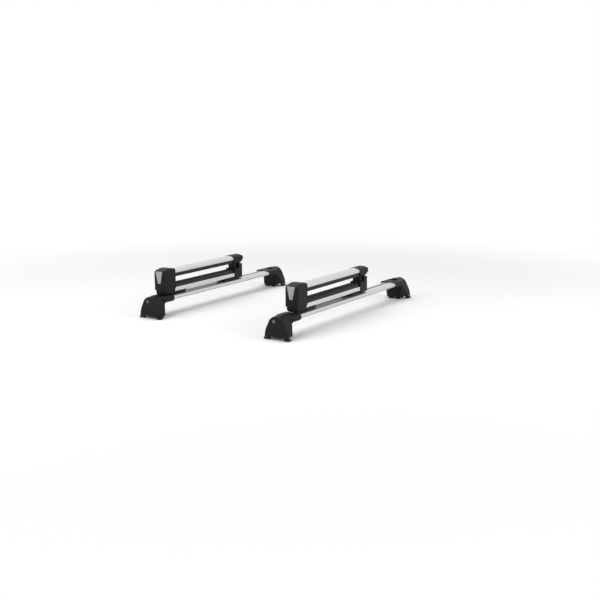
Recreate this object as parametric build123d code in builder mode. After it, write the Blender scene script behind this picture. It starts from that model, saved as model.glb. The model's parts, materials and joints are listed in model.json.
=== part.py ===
from build123d import *
import os
from math import atan2, sin, sqrt

# Roof ski rack: two crossbars, each on two foot packs, and a snap-open ski carrier on each bar.
#
# Millimetres. +X is the car's forward direction, +Y runs across the car to the far side, +Z is up.
# The origin is midway between the bars, on the car's centre plane, level with the feet's lowest face.
# A carrier is drawn about X = 0 and a foot about its bar's X with its outer face at Y = 0; the loops at
# the end set them in place. The four feet are alike, so the far-side ones are turned half a turn.

# ---------------------------------------------------------------- rack layout
bar_spacing = 700.0
front_half_span = 530.0
rear_half_span = 490.0

# ---------------------------------------------------------------- clearances
seat_gap = 0.1          # between pieces that stay still against each other
moving_gap = 0.3        # between pieces that move past each other
running_gap = 0.05      # radial, round a turning shaft

# ---------------------------------------------------------------- crossbar
bar_chord = 80.0
bar_thickness = 22.0
bar_bottom_z = 67.0
bar_wall = 2.2
bar_nose_radius = 9.0
bar_tail_radius = 6.0
bar_end_inset = 66.0    # the bar's end stands this far inside the foot's outer face
bar_top_z = bar_bottom_z + bar_thickness
bar_mid_z = bar_bottom_z + bar_thickness / 2
slot_mouth = 11.0
slot_lip = 3.0
slot_width = 21.0
slot_height = 7.0
slot_wall = 2.0

# ---------------------------------------------------------------- foot pack
foot_corner_ratio = 0.44    # the collar's corner radius, as a share of its height
foot_neck_ratio = 0.6       # the neck's width inside the body, as a share of the collar's
foot_width = 117.0
foot_flare = 4.5          # the outline widens by this on each side below its shoulder
foot_shoulder_width = foot_width - 2 * foot_flare
foot_shoulder_z = 36.0
foot_shoulder_radius = 60.0
foot_peak_z = 150.0     # height at which the dome's slanted sides would meet
foot_skirt = 30.0       # the outline runs on below the foot, so that insets keep its full height
cover_crest_z = 97.0
foot_crest_z = bar_top_z + 10
cover_bottom_z = 10.0
cover_depth = 14.0
cover_wall = 2.5
cover_edge_radius = 5.0
foot_front = cover_depth + 0.6
foot_rim = 8.0
pocket_floor = 26.3     # depth of the foot's front pocket, from the outer face
foot_crest_depth = 45.0
foot_back = 62.0
neck_depth = 30.0       # where the neck to the collar starts, inside the body
shoulder_depth = 64.0
collar_end = 120.0
flank_depth = 33.0      # the body's flanks slant inwards from here to its back
flank_inset = 22.5
collar_wall = 3.5
rail_seat_z = 16.0
rail_pad_thickness = 4.0
foot_leg_thickness = 12.0
foot_leg_width = 20.0
foot_leg_inner = 8.0
claw_width = 20.0
ear_root_height = 12.0
swing_room = 3.0         # the cover's side walls stop this far short low down, to swing clear
swing_height = 10.0
lock_bush_wall = 2.2
lock_bush_length = 5.0
bolt_socket_radius = 3.4
bolt_socket_depth = 4.0
pad_side_inset = 15.0
pad_front_gap = 0.5
slot_strip_recess = 0.2
rail_channel_front = 26.0
claw_bottom_z = 0.5
claw_top_z = cover_bottom_z - 1.3
claw_lip_reach = 5.0
claw_lip_height = 3.5
jaw_front = 16.0
jaw_thickness = 3.0
jaw_top_z = 62.0
jaw_travel = 6.0
clamp_bolt_z = 45.0
clamp_bolt_radius = 4.0
clamp_head_radius = 6.5
clamp_head_length = 6.5
clamp_bolt_end = 40.0
cover_pin_radius = 1.5
cover_pin_depth = 5.3
cover_pin_z = 15.0
cover_ear_inner = foot_width / 2 - 11
cover_ear_thickness = 4.0
cover_boss_radius = 2.5
foot_lock_x = -9.0
foot_lock_z = 76.0
foot_lock_radius = 7.0
foot_lock_face = 0.2
foot_lock_end = 17.3
foot_cam_thickness = 1.8
foot_cam_length = 12.0
foot_cam_width = 6.0

# ---------------------------------------------------------------- ski carrier, heights
mount_height = 11.0
lower_arm_height = 20.0
lower_pad_height = 15.0
ski_gap = 33.0          # between the closed pads
upper_pad_height = 17.0
upper_arm_side_height = 10.0
upper_arm_height = 19.0
lower_arm_bottom_z = bar_top_z + mount_height
lower_arm_top_z = lower_arm_bottom_z + lower_arm_height
lower_pad_top_z = lower_arm_top_z + lower_pad_height
upper_pad_bottom_z = lower_pad_top_z + ski_gap
upper_arm_bottom_z = upper_pad_bottom_z + upper_pad_height
upper_arm_side_z = upper_arm_bottom_z + upper_arm_side_height
upper_arm_top_z = upper_arm_bottom_z + upper_arm_height

# ---------------------------------------------------------------- ski carrier, arms and pads
lower_arm_width = 50.0
upper_arm_width = 56.0
lower_arm_corner = 4.0
arm_wall = 2.2
arm_edge_radius = 1.5
pad_mouth = 28.0
pad_lip = 2.0
pad_foot_width = 36.0
pad_foot_height = 3.0
pad_corner = 3.5
groove_width = 2.4
groove_depth = 1.5
groove_spacing = 15.0
lower_pad_width = lower_arm_width - 6
upper_pad_width = upper_arm_width - 8

# ---------------------------------------------------------------- latch end
latch_face_y = -420.0
latch_depth = 76.0
latch_back_y = latch_face_y + latch_depth
lower_arm_near_y = latch_face_y + 30
upper_arm_near_y = latch_face_y + 34
pad_near_y = latch_back_y + 4
housing_width = upper_arm_width + 6
housing_bottom_z = lower_arm_top_z - 5
housing_brow_z = upper_arm_top_z - 0.5      # the crown rises from the brow, above the button
housing_crown_y = latch_face_y + 46
housing_crown_z = upper_arm_top_z + 6.5
housing_back_z = upper_arm_top_z + 2.5
housing_wall = 2.8
housing_brow_radius = 9.0
housing_crown_radius = 60.0
housing_heel_radius = 3.0
housing_edge_radius = 6.0
lever_room_width = housing_width - 14
lever_room_top_z = housing_brow_z - 3
base_width = lower_arm_width + 6
base_bottom_z = lower_arm_bottom_z - 8
base_near_y = latch_face_y + 6
base_far_y = latch_back_y - 2
base_corner_radius = 6.0
base_edge_radius = 5.0
striker_block_width = 40.0
striker_block_y = latch_face_y + 18
striker_near_y = latch_face_y + 22
striker_thickness = 4.0
striker_far_y = striker_near_y + striker_thickness
striker_half_width = 9.0
striker_top_z = lower_arm_top_z + 14
nose_bottom_z = striker_top_z - 6
nose_reach = 5.0

button_top_z = housing_brow_z - 4.5
button_bottom_z = housing_bottom_z + 30
button_top_width = 38.0
button_bottom_width = 15.0
button_corner = 2.5
button_proud = 0.8
button_window_gap = 0.4
button_flange = 1.2
button_plate = 2.5
stem_half_width = 5.0
stem_z = upper_arm_bottom_z + 2
stem_height = 3.0
spring_x = 13.0
spring_radius = 3.5
spring_wire = 0.5
spring_turns = 5
spring_seat_height = 12.0

pawl_pin_y = latch_face_y + 21
pawl_pin_z = housing_bottom_z + 47
pawl_pin_radius = 2.5
pawl_half_width = 8.0
pawl_barrel_radius = 5.5
pawl_lever_top_z = stem_z + 3
pawl_lever_thickness = 5.0
pawl_toe_height = 6.0
pawl_toe_bottom_z = nose_bottom_z - pawl_toe_height - 0.5
pawl_leg_near_y = latch_face_y + 11
pawl_leg_thickness = 3.5

lock_y = latch_face_y + 42
lock_z = housing_bottom_z + 35
lock_radius = 7.0
lock_proud = 1.0
lock_length = 14.0
lock_boss_wall = 2.5
cam_thickness = 2.0
cam_length = 11.0
cam_width = 6.0
keyway_length = 8.0
keyway_width = 1.4
keyway_depth = 2.0

# ---------------------------------------------------------------- hinge end
hinge_pin_y = 150.0
hinge_pin_z = upper_arm_bottom_z + 0.5
hinge_pin_radius = 3.0
hinge_end_radius = 10.0
lower_arm_far_y = hinge_pin_y - 52
upper_arm_far_y = hinge_pin_y - 22
cap_bottom_z = upper_arm_bottom_z - 10
cap_wall = 1.8
cap_width = upper_arm_width + 2 * cap_wall
cap_top_z = upper_arm_top_z + cap_wall
cap_tip_y = hinge_pin_y - 64    # the pads end here too
cap_heel_radius = 14.0
cap_far_y = hinge_pin_y + hinge_end_radius
pad_end_gap = 0.5
pad_far_y = cap_tip_y - pad_end_gap
hinge_pin_half_length = cap_width / 2 - 2.5
knuckle_half_width = 12.0
knuckle_radius = 7.5
knuckle_neck = 10.0
block_bar_bottom_z = cap_bottom_z - 7
block_bar_top_z = cap_bottom_z - moving_gap
hinge_base_width = lower_arm_width + 4
block_width = hinge_base_width
leg_half_width = 20.0
inner_leg_near_y = hinge_pin_y - 43
inner_leg_far_y = hinge_pin_y - 31
outer_leg_near_y = hinge_pin_y - 15
outer_leg_far_y = hinge_pin_y - 1
leg_bottom_z = lower_arm_bottom_z + 2
hinge_base_near_y = lower_arm_far_y + seat_gap
hinge_base_far_y = cap_far_y
hinge_base_top_z = lower_arm_top_z + 20
hinge_base_corner = 6.0
hinge_base_edge = 4.0
tower_near_y = hinge_pin_y - 20
tower_top_z = block_bar_bottom_z - 8
spigot_length = 18.0
spigot_gap = 3.0

# ---------------------------------------------------------------- bar mounts
mount_length = 78.0
mount_corner = 3.0
near_mount_y = latch_back_y + 38
far_mount_y = lower_arm_far_y - 41
mount_flange_width = lower_arm_width + 6
mount_width = mount_flange_width - 8
mount_flange_height = 3.0
mount_flange_reach = 2.0
mount_skirt = 4.0
t_bolt_radius = 4.0
t_head_length = 18.0
t_head_height = 5.0
nut_flat = 13.0
nut_height = 6.5
t_bolt_top_z = lower_arm_bottom_z + 11.5


def across(y):
    """Upright plane at y that faces the near side, so a negative extrusion runs to the far side."""
    return Plane.XZ.offset(-y)


def write(piece, name):
    """Labels a finished piece with its node's name and writes its STEP file."""
    piece.label = name
    export_step(piece, f"parts/{name}.step")


# ================================================================ shared outlines
def bar_section(grow=0.0, nose_side=1):
    """Aerofoil outline of the crossbar, grown all round by a clearance, with its nose to one side."""
    nose_x = nose_side * (bar_chord / 2 - bar_nose_radius)
    tail_x = nose_side * (bar_tail_radius - bar_chord / 2)
    tip_x = nose_side * bar_chord / 2
    with BuildSketch() as section:
        with BuildLine():
            ThreePointArc((tail_x, bar_mid_z + bar_tail_radius), (0, bar_top_z),
                          (nose_x, bar_mid_z + bar_nose_radius))
            ThreePointArc((nose_x, bar_mid_z + bar_nose_radius), (tip_x, bar_mid_z),
                          (nose_x, bar_mid_z - bar_nose_radius))
            ThreePointArc((nose_x, bar_mid_z - bar_nose_radius), (0, bar_bottom_z),
                          (tail_x, bar_mid_z - bar_tail_radius))
            ThreePointArc((tail_x, bar_mid_z - bar_tail_radius), (-tip_x, bar_mid_z),
                          (tail_x, bar_mid_z + bar_tail_radius))
        make_face()
        if grow != 0:
            offset(amount=grow)
    return section.sketch


def dome_section(crest_z, bottom_z, grow=0.0):
    """Front outline of a foot pack: a tall dome that flares to the foot's full width at the bottom."""
    shoulder = foot_shoulder_width / 2
    skirt = foot_width / 2 + (foot_width / 2 - shoulder) * foot_skirt / foot_shoulder_z
    side_angle = atan2(shoulder, foot_peak_z - foot_shoulder_z)
    crest_radius = (foot_peak_z - crest_z) / (1 / sin(side_angle) - 1)
    with BuildSketch() as section:
        with BuildLine():
            FilletPolyline((skirt, -foot_skirt), (shoulder, foot_shoulder_z), (0, foot_peak_z),
                           (-shoulder, foot_shoulder_z), (-skirt, -foot_skirt),
                           radius=[foot_shoulder_radius, crest_radius, foot_shoulder_radius])
            Line((-skirt, -foot_skirt), (skirt, -foot_skirt))
        make_face()
        if grow != 0:
            offset(amount=grow)
        with Locations((0, bottom_z - foot_width / 2)):
            Rectangle(2 * foot_width, foot_width, mode=Mode.SUBTRACT)
    return section.sketch


def upper_arm_section(grow=0.0):
    """Outer outline of the upper arm: upright side facets under a low dome."""
    half = upper_arm_width / 2
    with BuildSketch() as section:
        with BuildLine():
            Polyline((half, upper_arm_side_z), (half, upper_arm_bottom_z),
                     (-half, upper_arm_bottom_z), (-half, upper_arm_side_z))
            ThreePointArc((-half, upper_arm_side_z), (0, upper_arm_top_z), (half, upper_arm_side_z))
        make_face()
        if grow != 0:
            offset(amount=grow)
    return section.sketch


def button_section(grow=0.0):
    """Outline of the push button: an upside-down trapezium with rounded corners."""
    with BuildSketch() as section:
        with BuildLine():
            Polyline((-button_top_width / 2, button_top_z), (button_top_width / 2, button_top_z),
                     (button_bottom_width / 2, button_bottom_z), (-button_bottom_width / 2, button_bottom_z),
                     close=True)
        make_face()
        fillet(section.vertices(), radius=button_corner)
        if grow != 0:
            offset(amount=grow)
    return section.sketch


# ================================================================ crossbars
def make_crossbar(half_span):
    """Hollow aerofoil extrusion with a T-slot along its top."""
    near_y = bar_end_inset - half_span
    slot_floor_z = bar_top_z - slot_lip - slot_height
    with BuildPart() as crossbar:
        with BuildSketch(across(near_y)):
            add(bar_section())
            with Locations((0, bar_top_z - slot_lip / 2)):
                Rectangle(slot_mouth, slot_lip + 1, mode=Mode.SUBTRACT)
            with Locations((0, slot_floor_z + slot_height / 2)):
                Rectangle(slot_width, slot_height, mode=Mode.SUBTRACT)
        extrude(amount=2 * near_y)
        with BuildSketch(across(near_y)):
            add(bar_section(-bar_wall))
            with Locations((0, slot_floor_z + bar_thickness / 2)):
                Rectangle(slot_width + 2 * slot_wall, bar_thickness + 2 * slot_wall, mode=Mode.SUBTRACT)
        extrude(amount=2 * near_y, mode=Mode.SUBTRACT)
    return crossbar.part


def strip_spans(half_span):
    """Stretches of the T-slot that stay free of the carrier's mounts."""
    slot_end = half_span - collar_end - 1
    half_mount = mount_length / 2 + seat_gap
    spans = [(near_mount_y + half_mount, far_mount_y - half_mount), (far_mount_y + half_mount, slot_end)]
    near_start = -slot_end
    if near_mount_y - half_mount - near_start > slot_mouth:
        spans.append((near_start, near_mount_y - half_mount))
    return spans


def make_slot_strips():
    """Rubber strips that close the T-slots between the collars and the mounts, on both bars."""
    strip_top_z = bar_top_z - slot_strip_recess
    neck = slot_mouth - 2 * seat_gap
    foot_z = bar_top_z - slot_lip - seat_gap
    with BuildPart() as strips:
        for bar_x, half_span in ((bar_spacing / 2, front_half_span), (-bar_spacing / 2, rear_half_span)):
            for start_y, end_y in strip_spans(half_span):
                with BuildSketch(across(start_y)):
                    with Locations((bar_x, (strip_top_z + foot_z) / 2 - 0.5)):
                        Rectangle(neck, strip_top_z - foot_z + 1)
                    with Locations((bar_x, foot_z - 1.5)):
                        Rectangle(slot_width - 2 * seat_gap, 3)
                extrude(amount=start_y - end_y)
    return strips.part


# ================================================================ foot packs
def collar_section(half_width, bottom_z, crest_z):
    """Rounded outline of the foot's collar, with the same number of edges at each end of its taper."""
    with BuildSketch() as section:
        with Locations((0, (bottom_z + crest_z) / 2)):
            RectangleRounded(2 * half_width, crest_z - bottom_z, foot_corner_ratio * (crest_z - bottom_z))
    return section.sketch


def make_foot_base(nose_side):
    """Moulded body: the dome behind the cover, the tapering collar round the bar, and two inner legs."""
    collar_half = bar_chord / 2 + collar_wall
    neck_half = foot_neck_ratio * collar_half
    collar_bottom = bar_bottom_z - collar_wall
    collar_top = bar_top_z + collar_wall - 0.6
    shoulder_bottom = collar_bottom - 5
    with BuildPart() as foot_base:
        with BuildSketch(across(foot_front)):
            add(dome_section(cover_crest_z, cover_bottom_z))
        with BuildSketch(across(foot_crest_depth)):
            add(dome_section(foot_crest_z, cover_bottom_z))
        loft()
        with BuildSketch(across(foot_crest_depth)):
            add(dome_section(foot_crest_z, cover_bottom_z))
        extrude(amount=foot_crest_depth - foot_back)
        with BuildSketch(across(neck_depth)):
            add(collar_section(neck_half, shoulder_bottom, cover_crest_z))
        with BuildSketch(across(shoulder_depth)):
            add(collar_section(collar_half, collar_bottom, collar_top))
        loft()
        with BuildSketch(across(shoulder_depth)):
            add(collar_section(collar_half, collar_bottom, collar_top))
        extrude(amount=shoulder_depth - collar_end)
        # The flanks slant in towards the back.
        half_width = foot_width / 2
        for side in (-1, 1):
            with BuildSketch(Plane.XY):
                with BuildLine():
                    Polyline((side * (half_width + 3), flank_depth), (side * (half_width + 3), foot_back + 1),
                             (side * (half_width - flank_inset), foot_back + 1), (side * half_width, flank_depth),
                             close=True)
                make_face()
            extrude(amount=collar_bottom - 1, mode=Mode.SUBTRACT)
        # The rail passes under the body, behind the claws and in front of the two inner legs.
        rail_roof_z = rail_seat_z + rail_pad_thickness
        leg_front = foot_back - foot_leg_thickness
        with Locations((0, (foot_front + leg_front) / 2, rail_roof_z / 2)):
            Box(2 * foot_width, leg_front - foot_front, rail_roof_z, mode=Mode.SUBTRACT)
        for side in (-1, 1):
            with Locations((side * (foot_leg_inner + foot_leg_width / 2), foot_back - foot_leg_thickness / 2,
                            rail_roof_z / 2)):
                Box(foot_leg_width, foot_leg_thickness, rail_roof_z)
        # Front pocket for the clamp, the bar's socket, the clamp bolt's bore and the lock's keeper slot.
        with BuildSketch(across(foot_front)):
            add(dome_section(cover_crest_z, -1, -foot_rim))
        extrude(amount=foot_front - pocket_floor, mode=Mode.SUBTRACT)
        with BuildSketch(across(bar_end_inset)):
            add(bar_section(seat_gap, nose_side))
        extrude(amount=bar_end_inset - collar_end - 1, mode=Mode.SUBTRACT)
        with Locations(Location((0, pocket_floor, clamp_bolt_z), (90, 0, 0))):
            Cylinder(clamp_bolt_radius + running_gap, 2 * (clamp_bolt_end + jaw_travel + 3 - pocket_floor),
                     mode=Mode.SUBTRACT)
        keeper_y = foot_lock_end + foot_cam_thickness / 2
        with Locations(Location((foot_lock_x, keeper_y, foot_lock_z), (90, 0, 0))):
            Cylinder(foot_cam_length + 1, foot_cam_thickness + 1.2, mode=Mode.SUBTRACT)
        # Ears that carry the cover's hinge pins: each reaches forward from the pocket's side.
        ear_root_z = cover_pin_z + ear_root_height
        for side in (-1, 1):
            ear_x = side * (cover_ear_inner + cover_ear_thickness / 2)
            with BuildSketch(Plane.YZ.offset(ear_x - cover_ear_thickness / 2)):
                with BuildLine():
                    Polyline((cover_pin_depth, cover_pin_z - cover_boss_radius),
                             (pocket_floor, cover_pin_z - cover_boss_radius), (pocket_floor, ear_root_z),
                             (foot_front, ear_root_z), (cover_pin_depth, cover_pin_z + cover_boss_radius),
                             close=True)
                make_face()
            extrude(amount=cover_ear_thickness)
            with Locations(Location((ear_x, cover_pin_depth, cover_pin_z), (0, 90, 0))):
                Cylinder(cover_boss_radius, cover_ear_thickness)
                Cylinder(cover_pin_radius, cover_ear_thickness + 1, mode=Mode.SUBTRACT)
    return foot_base.part


def make_foot_cover():
    """Outer shell with a rounded edge, side bosses on the hinge pins and a hole for its lock."""
    with BuildPart() as foot_cover:
        with BuildSketch(across(0)):
            add(dome_section(cover_crest_z, cover_bottom_z))
        extrude(amount=-cover_depth)
        fillet(foot_cover.faces().sort_by(Axis.Y)[0].edges(), radius=cover_edge_radius)
        with BuildSketch(across(cover_wall)):
            add(dome_section(cover_crest_z, -1, -cover_wall))
        extrude(amount=cover_wall - cover_depth, mode=Mode.SUBTRACT)
        # The side walls are cut back low down, so that the lower edge swings clear of the foot.
        low_wall_top = cover_pin_z + swing_height
        with Locations((0, cover_depth - swing_room / 2, low_wall_top / 2)):
            Box(2 * foot_width, swing_room, low_wall_top, mode=Mode.SUBTRACT)
        boss_inner = cover_ear_inner + cover_ear_thickness + moving_gap
        boss_outer = foot_width / 2 - cover_wall
        for side in (-1, 1):
            with Locations(Location((side * (boss_inner + boss_outer) / 2, cover_pin_depth, cover_pin_z),
                                    (0, 90, 0))):
                Cylinder(cover_boss_radius, boss_outer - boss_inner)
                Cylinder(cover_pin_radius + running_gap, boss_outer - boss_inner, mode=Mode.SUBTRACT)
        with Locations(Location((foot_lock_x, 0, foot_lock_z), (90, 0, 0))):
            Cylinder(foot_lock_radius + lock_bush_wall, 2 * (cover_wall + lock_bush_length))
            Cylinder(foot_lock_radius + running_gap, 4 * cover_depth, mode=Mode.SUBTRACT)
        with Locations((0, -foot_width / 2, foot_lock_z)):
            Box(foot_width, foot_width, foot_width, mode=Mode.SUBTRACT)
    return foot_cover.part


def make_cover_pins():
    """The two short pins of one foot's cover hinge."""
    inner = cover_ear_inner - 0.5
    outer = cover_ear_inner + cover_ear_thickness + 3
    with BuildPart() as cover_pins:
        for side in (-1, 1):
            with Locations(Location((side * (inner + outer) / 2, cover_pin_depth, cover_pin_z), (0, 90, 0))):
                Cylinder(cover_pin_radius, outer - inner)
    return cover_pins.part


def make_foot_lock():
    """Key cylinder of a foot's cover, with its keyway and the cam behind the cover."""
    with BuildPart() as foot_lock:
        barrel_y = (foot_lock_face + foot_lock_end) / 2
        with Locations(Location((foot_lock_x, barrel_y, foot_lock_z), (90, 0, 0))):
            Cylinder(foot_lock_radius, foot_lock_end - foot_lock_face)
        with Locations((foot_lock_x + (foot_cam_length - foot_cam_width / 2) / 2,
                        foot_lock_end + foot_cam_thickness / 2, foot_lock_z)):
            Box(foot_cam_length + foot_cam_width / 2, foot_cam_thickness, foot_cam_width)
        with Locations((foot_lock_x, foot_lock_face, foot_lock_z)):
            Box(keyway_width, 2 * keyway_depth, keyway_length, mode=Mode.SUBTRACT)
    return foot_lock.part


def make_clamp_jaw():
    """Steel plate in the foot's pocket, with two claws that hook the rail from under the cover's edge."""
    claw_inner = foot_width / 2 - claw_width
    jaw_back = jaw_front + jaw_thickness
    with BuildPart() as clamp_jaw:
        with BuildSketch(across(jaw_front)):
            add(dome_section(cover_crest_z, claw_top_z, -foot_rim - 0.8))
            with Locations((0, jaw_top_z + foot_width / 2)):
                Rectangle(foot_width, foot_width, mode=Mode.SUBTRACT)
            for side in (-1, 1):
                with Locations((side * (cover_ear_inner + foot_width / 2), cover_pin_z + 8)):
                    Rectangle(foot_width + 2, 36, mode=Mode.SUBTRACT)
        extrude(amount=-jaw_thickness)
        for side in (-1, 1):
            claw_x = side * (claw_inner + claw_width / 2)
            with BuildSketch(Plane.YZ.offset(claw_x - claw_width / 2)):
                with BuildLine():
                    Polyline((1, claw_top_z), (1, claw_bottom_z + 1.5), (2.5, claw_bottom_z),
                             (jaw_back + claw_lip_reach, claw_bottom_z),
                             (jaw_back + claw_lip_reach, claw_bottom_z + claw_lip_height - 1),
                             (jaw_back, claw_bottom_z + claw_lip_height), (jaw_back, claw_top_z), close=True)
                make_face()
            extrude(amount=claw_width)
        with Locations(Location((0, jaw_front, clamp_bolt_z), (90, 0, 0))):
            Cylinder(clamp_bolt_radius + running_gap, 4 * jaw_thickness, mode=Mode.SUBTRACT)
    return clamp_jaw.part


def make_clamp_bolt():
    """Socket-head bolt that draws the jaw in against the rail."""
    head_back = jaw_front - moving_gap
    with BuildPart() as clamp_bolt:
        with Locations(Location((0, head_back - clamp_head_length / 2, clamp_bolt_z), (90, 0, 0))):
            Cylinder(clamp_head_radius, clamp_head_length)
        with Locations(Location((0, (head_back + clamp_bolt_end) / 2, clamp_bolt_z), (90, 0, 0))):
            Cylinder(clamp_bolt_radius, clamp_bolt_end - head_back)
        with BuildSketch(across(head_back - clamp_head_length)):
            with Locations((0, clamp_bolt_z)):
                RegularPolygon(bolt_socket_radius, 6)
        extrude(amount=-bolt_socket_depth, mode=Mode.SUBTRACT)
    return clamp_bolt.part


def make_rail_pad():
    """Rubber pad under the foot that lies on the rail's top."""
    pad_back = foot_back - foot_leg_thickness - seat_gap
    pad_depth = pad_back - rail_channel_front - pad_front_gap
    with BuildPart() as rail_pad:
        with Locations((0, pad_back - pad_depth / 2, rail_seat_z + rail_pad_thickness / 2)):
            Box(foot_width - 2 * pad_side_inset, pad_depth, rail_pad_thickness - seat_gap)
        fillet(rail_pad.edges().filter_by(Axis.Z), radius=2)
    return rail_pad.part


# ================================================================ ski carrier, fixed half
def make_lower_arm():
    """Flat extrusion with a channel for the ski pad along its top."""
    channel_top = lower_arm_top_z - pad_lip
    channel_bottom = channel_top - pad_foot_height
    hollow_bottom = lower_arm_bottom_z + arm_wall
    hollow_top = channel_bottom - arm_wall
    with BuildPart() as lower_arm:
        with BuildSketch(across(lower_arm_near_y)):
            with Locations((0, lower_arm_bottom_z + lower_arm_height / 2)):
                RectangleRounded(lower_arm_width, lower_arm_height, lower_arm_corner)
            with Locations((0, lower_arm_top_z - pad_lip / 2)):
                Rectangle(pad_mouth, pad_lip, mode=Mode.SUBTRACT)
            with Locations((0, (channel_top + channel_bottom) / 2)):
                Rectangle(pad_foot_width, pad_foot_height, mode=Mode.SUBTRACT)
            with Locations((0, (hollow_bottom + hollow_top) / 2)):
                RectangleRounded(lower_arm_width - 2 * arm_wall, hollow_top - hollow_bottom, 2,
                                 mode=Mode.SUBTRACT)
        extrude(amount=lower_arm_near_y - lower_arm_far_y)
        with Locations((0, near_mount_y, lower_arm_bottom_z), (0, far_mount_y, lower_arm_bottom_z)):
            Cylinder(t_bolt_radius + seat_gap, 3 * arm_wall, mode=Mode.SUBTRACT)
    return lower_arm.part


def make_lower_pad():
    """Grooved rubber pad with a T-shaped foot that slides into the lower arm's channel."""
    body_height = lower_pad_top_z - lower_arm_top_z
    with BuildPart() as lower_pad:
        with BuildSketch(across(pad_near_y)):
            with Locations((0, lower_arm_top_z + body_height / 2)):
                RectangleRounded(lower_pad_width, body_height, pad_corner)
            with Locations((-groove_spacing / 2, lower_pad_top_z), (groove_spacing / 2, lower_pad_top_z)):
                Rectangle(groove_width, 2 * groove_depth, mode=Mode.SUBTRACT)
            with Locations((0, lower_arm_top_z - pad_lip / 2)):
                Rectangle(pad_mouth - 2 * seat_gap, pad_lip + 1)
            with Locations((0, lower_arm_top_z - pad_lip - pad_foot_height / 2)):
                Rectangle(pad_foot_width - 2 * seat_gap, pad_foot_height - 2 * seat_gap)
        extrude(amount=pad_near_y - pad_far_y)
    return lower_pad.part


def make_latch_base():
    """End cap of the lower arm, with the striker that the latch pawl takes hold of."""
    base_top_z = housing_bottom_z - moving_gap
    base_length = base_far_y - base_near_y
    with BuildPart() as latch_base:
        with Locations((0, (base_near_y + base_far_y) / 2, (base_bottom_z + base_top_z) / 2)):
            Box(base_width, base_length, base_top_z - base_bottom_z)
        fillet(latch_base.edges().filter_by(Axis.Z).group_by(Axis.Y)[0], radius=base_corner_radius)
        fillet(latch_base.faces().sort_by(Axis.Z)[0].edges(), radius=base_edge_radius)
        block_y = (striker_block_y + lower_arm_near_y) / 2
        with Locations((0, block_y, lower_arm_bottom_z + lower_arm_height / 2)):
            Box(striker_block_width, lower_arm_near_y - striker_block_y - 2 * seat_gap, lower_arm_height)
        with BuildSketch(across(lower_arm_near_y - seat_gap)):
            with Locations((0, lower_arm_bottom_z + lower_arm_height / 2)):
                RectangleRounded(lower_arm_width + 2 * seat_gap, lower_arm_height + 2 * seat_gap,
                                 lower_arm_corner + seat_gap)
        extrude(amount=lower_arm_near_y - base_far_y - 1, mode=Mode.SUBTRACT)
        with BuildSketch(Plane.YZ):
            with BuildLine():
                Polyline((striker_far_y, lower_arm_top_z - 4), (striker_near_y, lower_arm_top_z - 4),
                         (striker_near_y, nose_bottom_z), (striker_near_y - nose_reach, nose_bottom_z),
                         (striker_near_y - nose_reach, striker_top_z - 4), (striker_near_y, striker_top_z),
                         (striker_far_y, striker_top_z), close=True)
            make_face()
        extrude(amount=striker_half_width, both=True)
    return latch_base.part


def make_mounts():
    """The two bar mounts, each with a saddle that follows the bar's top and a flange under the arm."""
    mount_top_z = lower_arm_bottom_z
    saddle_bottom_z = bar_top_z - mount_skirt
    with BuildPart() as mounts:
        for mount_y in (near_mount_y, far_mount_y):
            with Locations((0, mount_y, (saddle_bottom_z + mount_top_z) / 2)):
                Box(mount_width, mount_length - 2 * mount_flange_reach, mount_top_z - saddle_bottom_z)
            with Locations((0, mount_y, mount_top_z - mount_flange_height / 2)):
                Box(mount_flange_width, mount_length, mount_flange_height)
        fillet(mounts.edges().filter_by(Axis.Z), radius=mount_corner)
        with BuildSketch(across(near_mount_y - mount_length)):
            add(bar_section(seat_gap))
        extrude(amount=near_mount_y - far_mount_y - 2 * mount_length, mode=Mode.SUBTRACT)
        with Locations((0, near_mount_y, mount_top_z), (0, far_mount_y, mount_top_z)):
            Cylinder(t_bolt_radius + seat_gap, 4 * mount_skirt + mount_top_z - bar_top_z, mode=Mode.SUBTRACT)
    return mounts.part


def make_t_bolts():
    """T-bolts from the bar's slot up through the mounts, each with its nut on the lower arm's floor."""
    head_top_z = bar_top_z - slot_lip - seat_gap
    nut_bottom_z = lower_arm_bottom_z + arm_wall
    with BuildPart() as t_bolts:
        for bolt_y in (near_mount_y, far_mount_y):
            with Locations((0, bolt_y, head_top_z - t_head_height / 2)):
                Box(slot_width - 4 * seat_gap, t_head_length, t_head_height)
            with Locations((0, bolt_y, (head_top_z + t_bolt_top_z) / 2)):
                Cylinder(t_bolt_radius, t_bolt_top_z - head_top_z)
            with BuildSketch(Plane.XY.offset(nut_bottom_z)):
                with Locations((0, bolt_y)):
                    RegularPolygon(nut_flat / 2, 6, major_radius=False)
            extrude(amount=nut_height)
    return t_bolts.part


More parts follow.
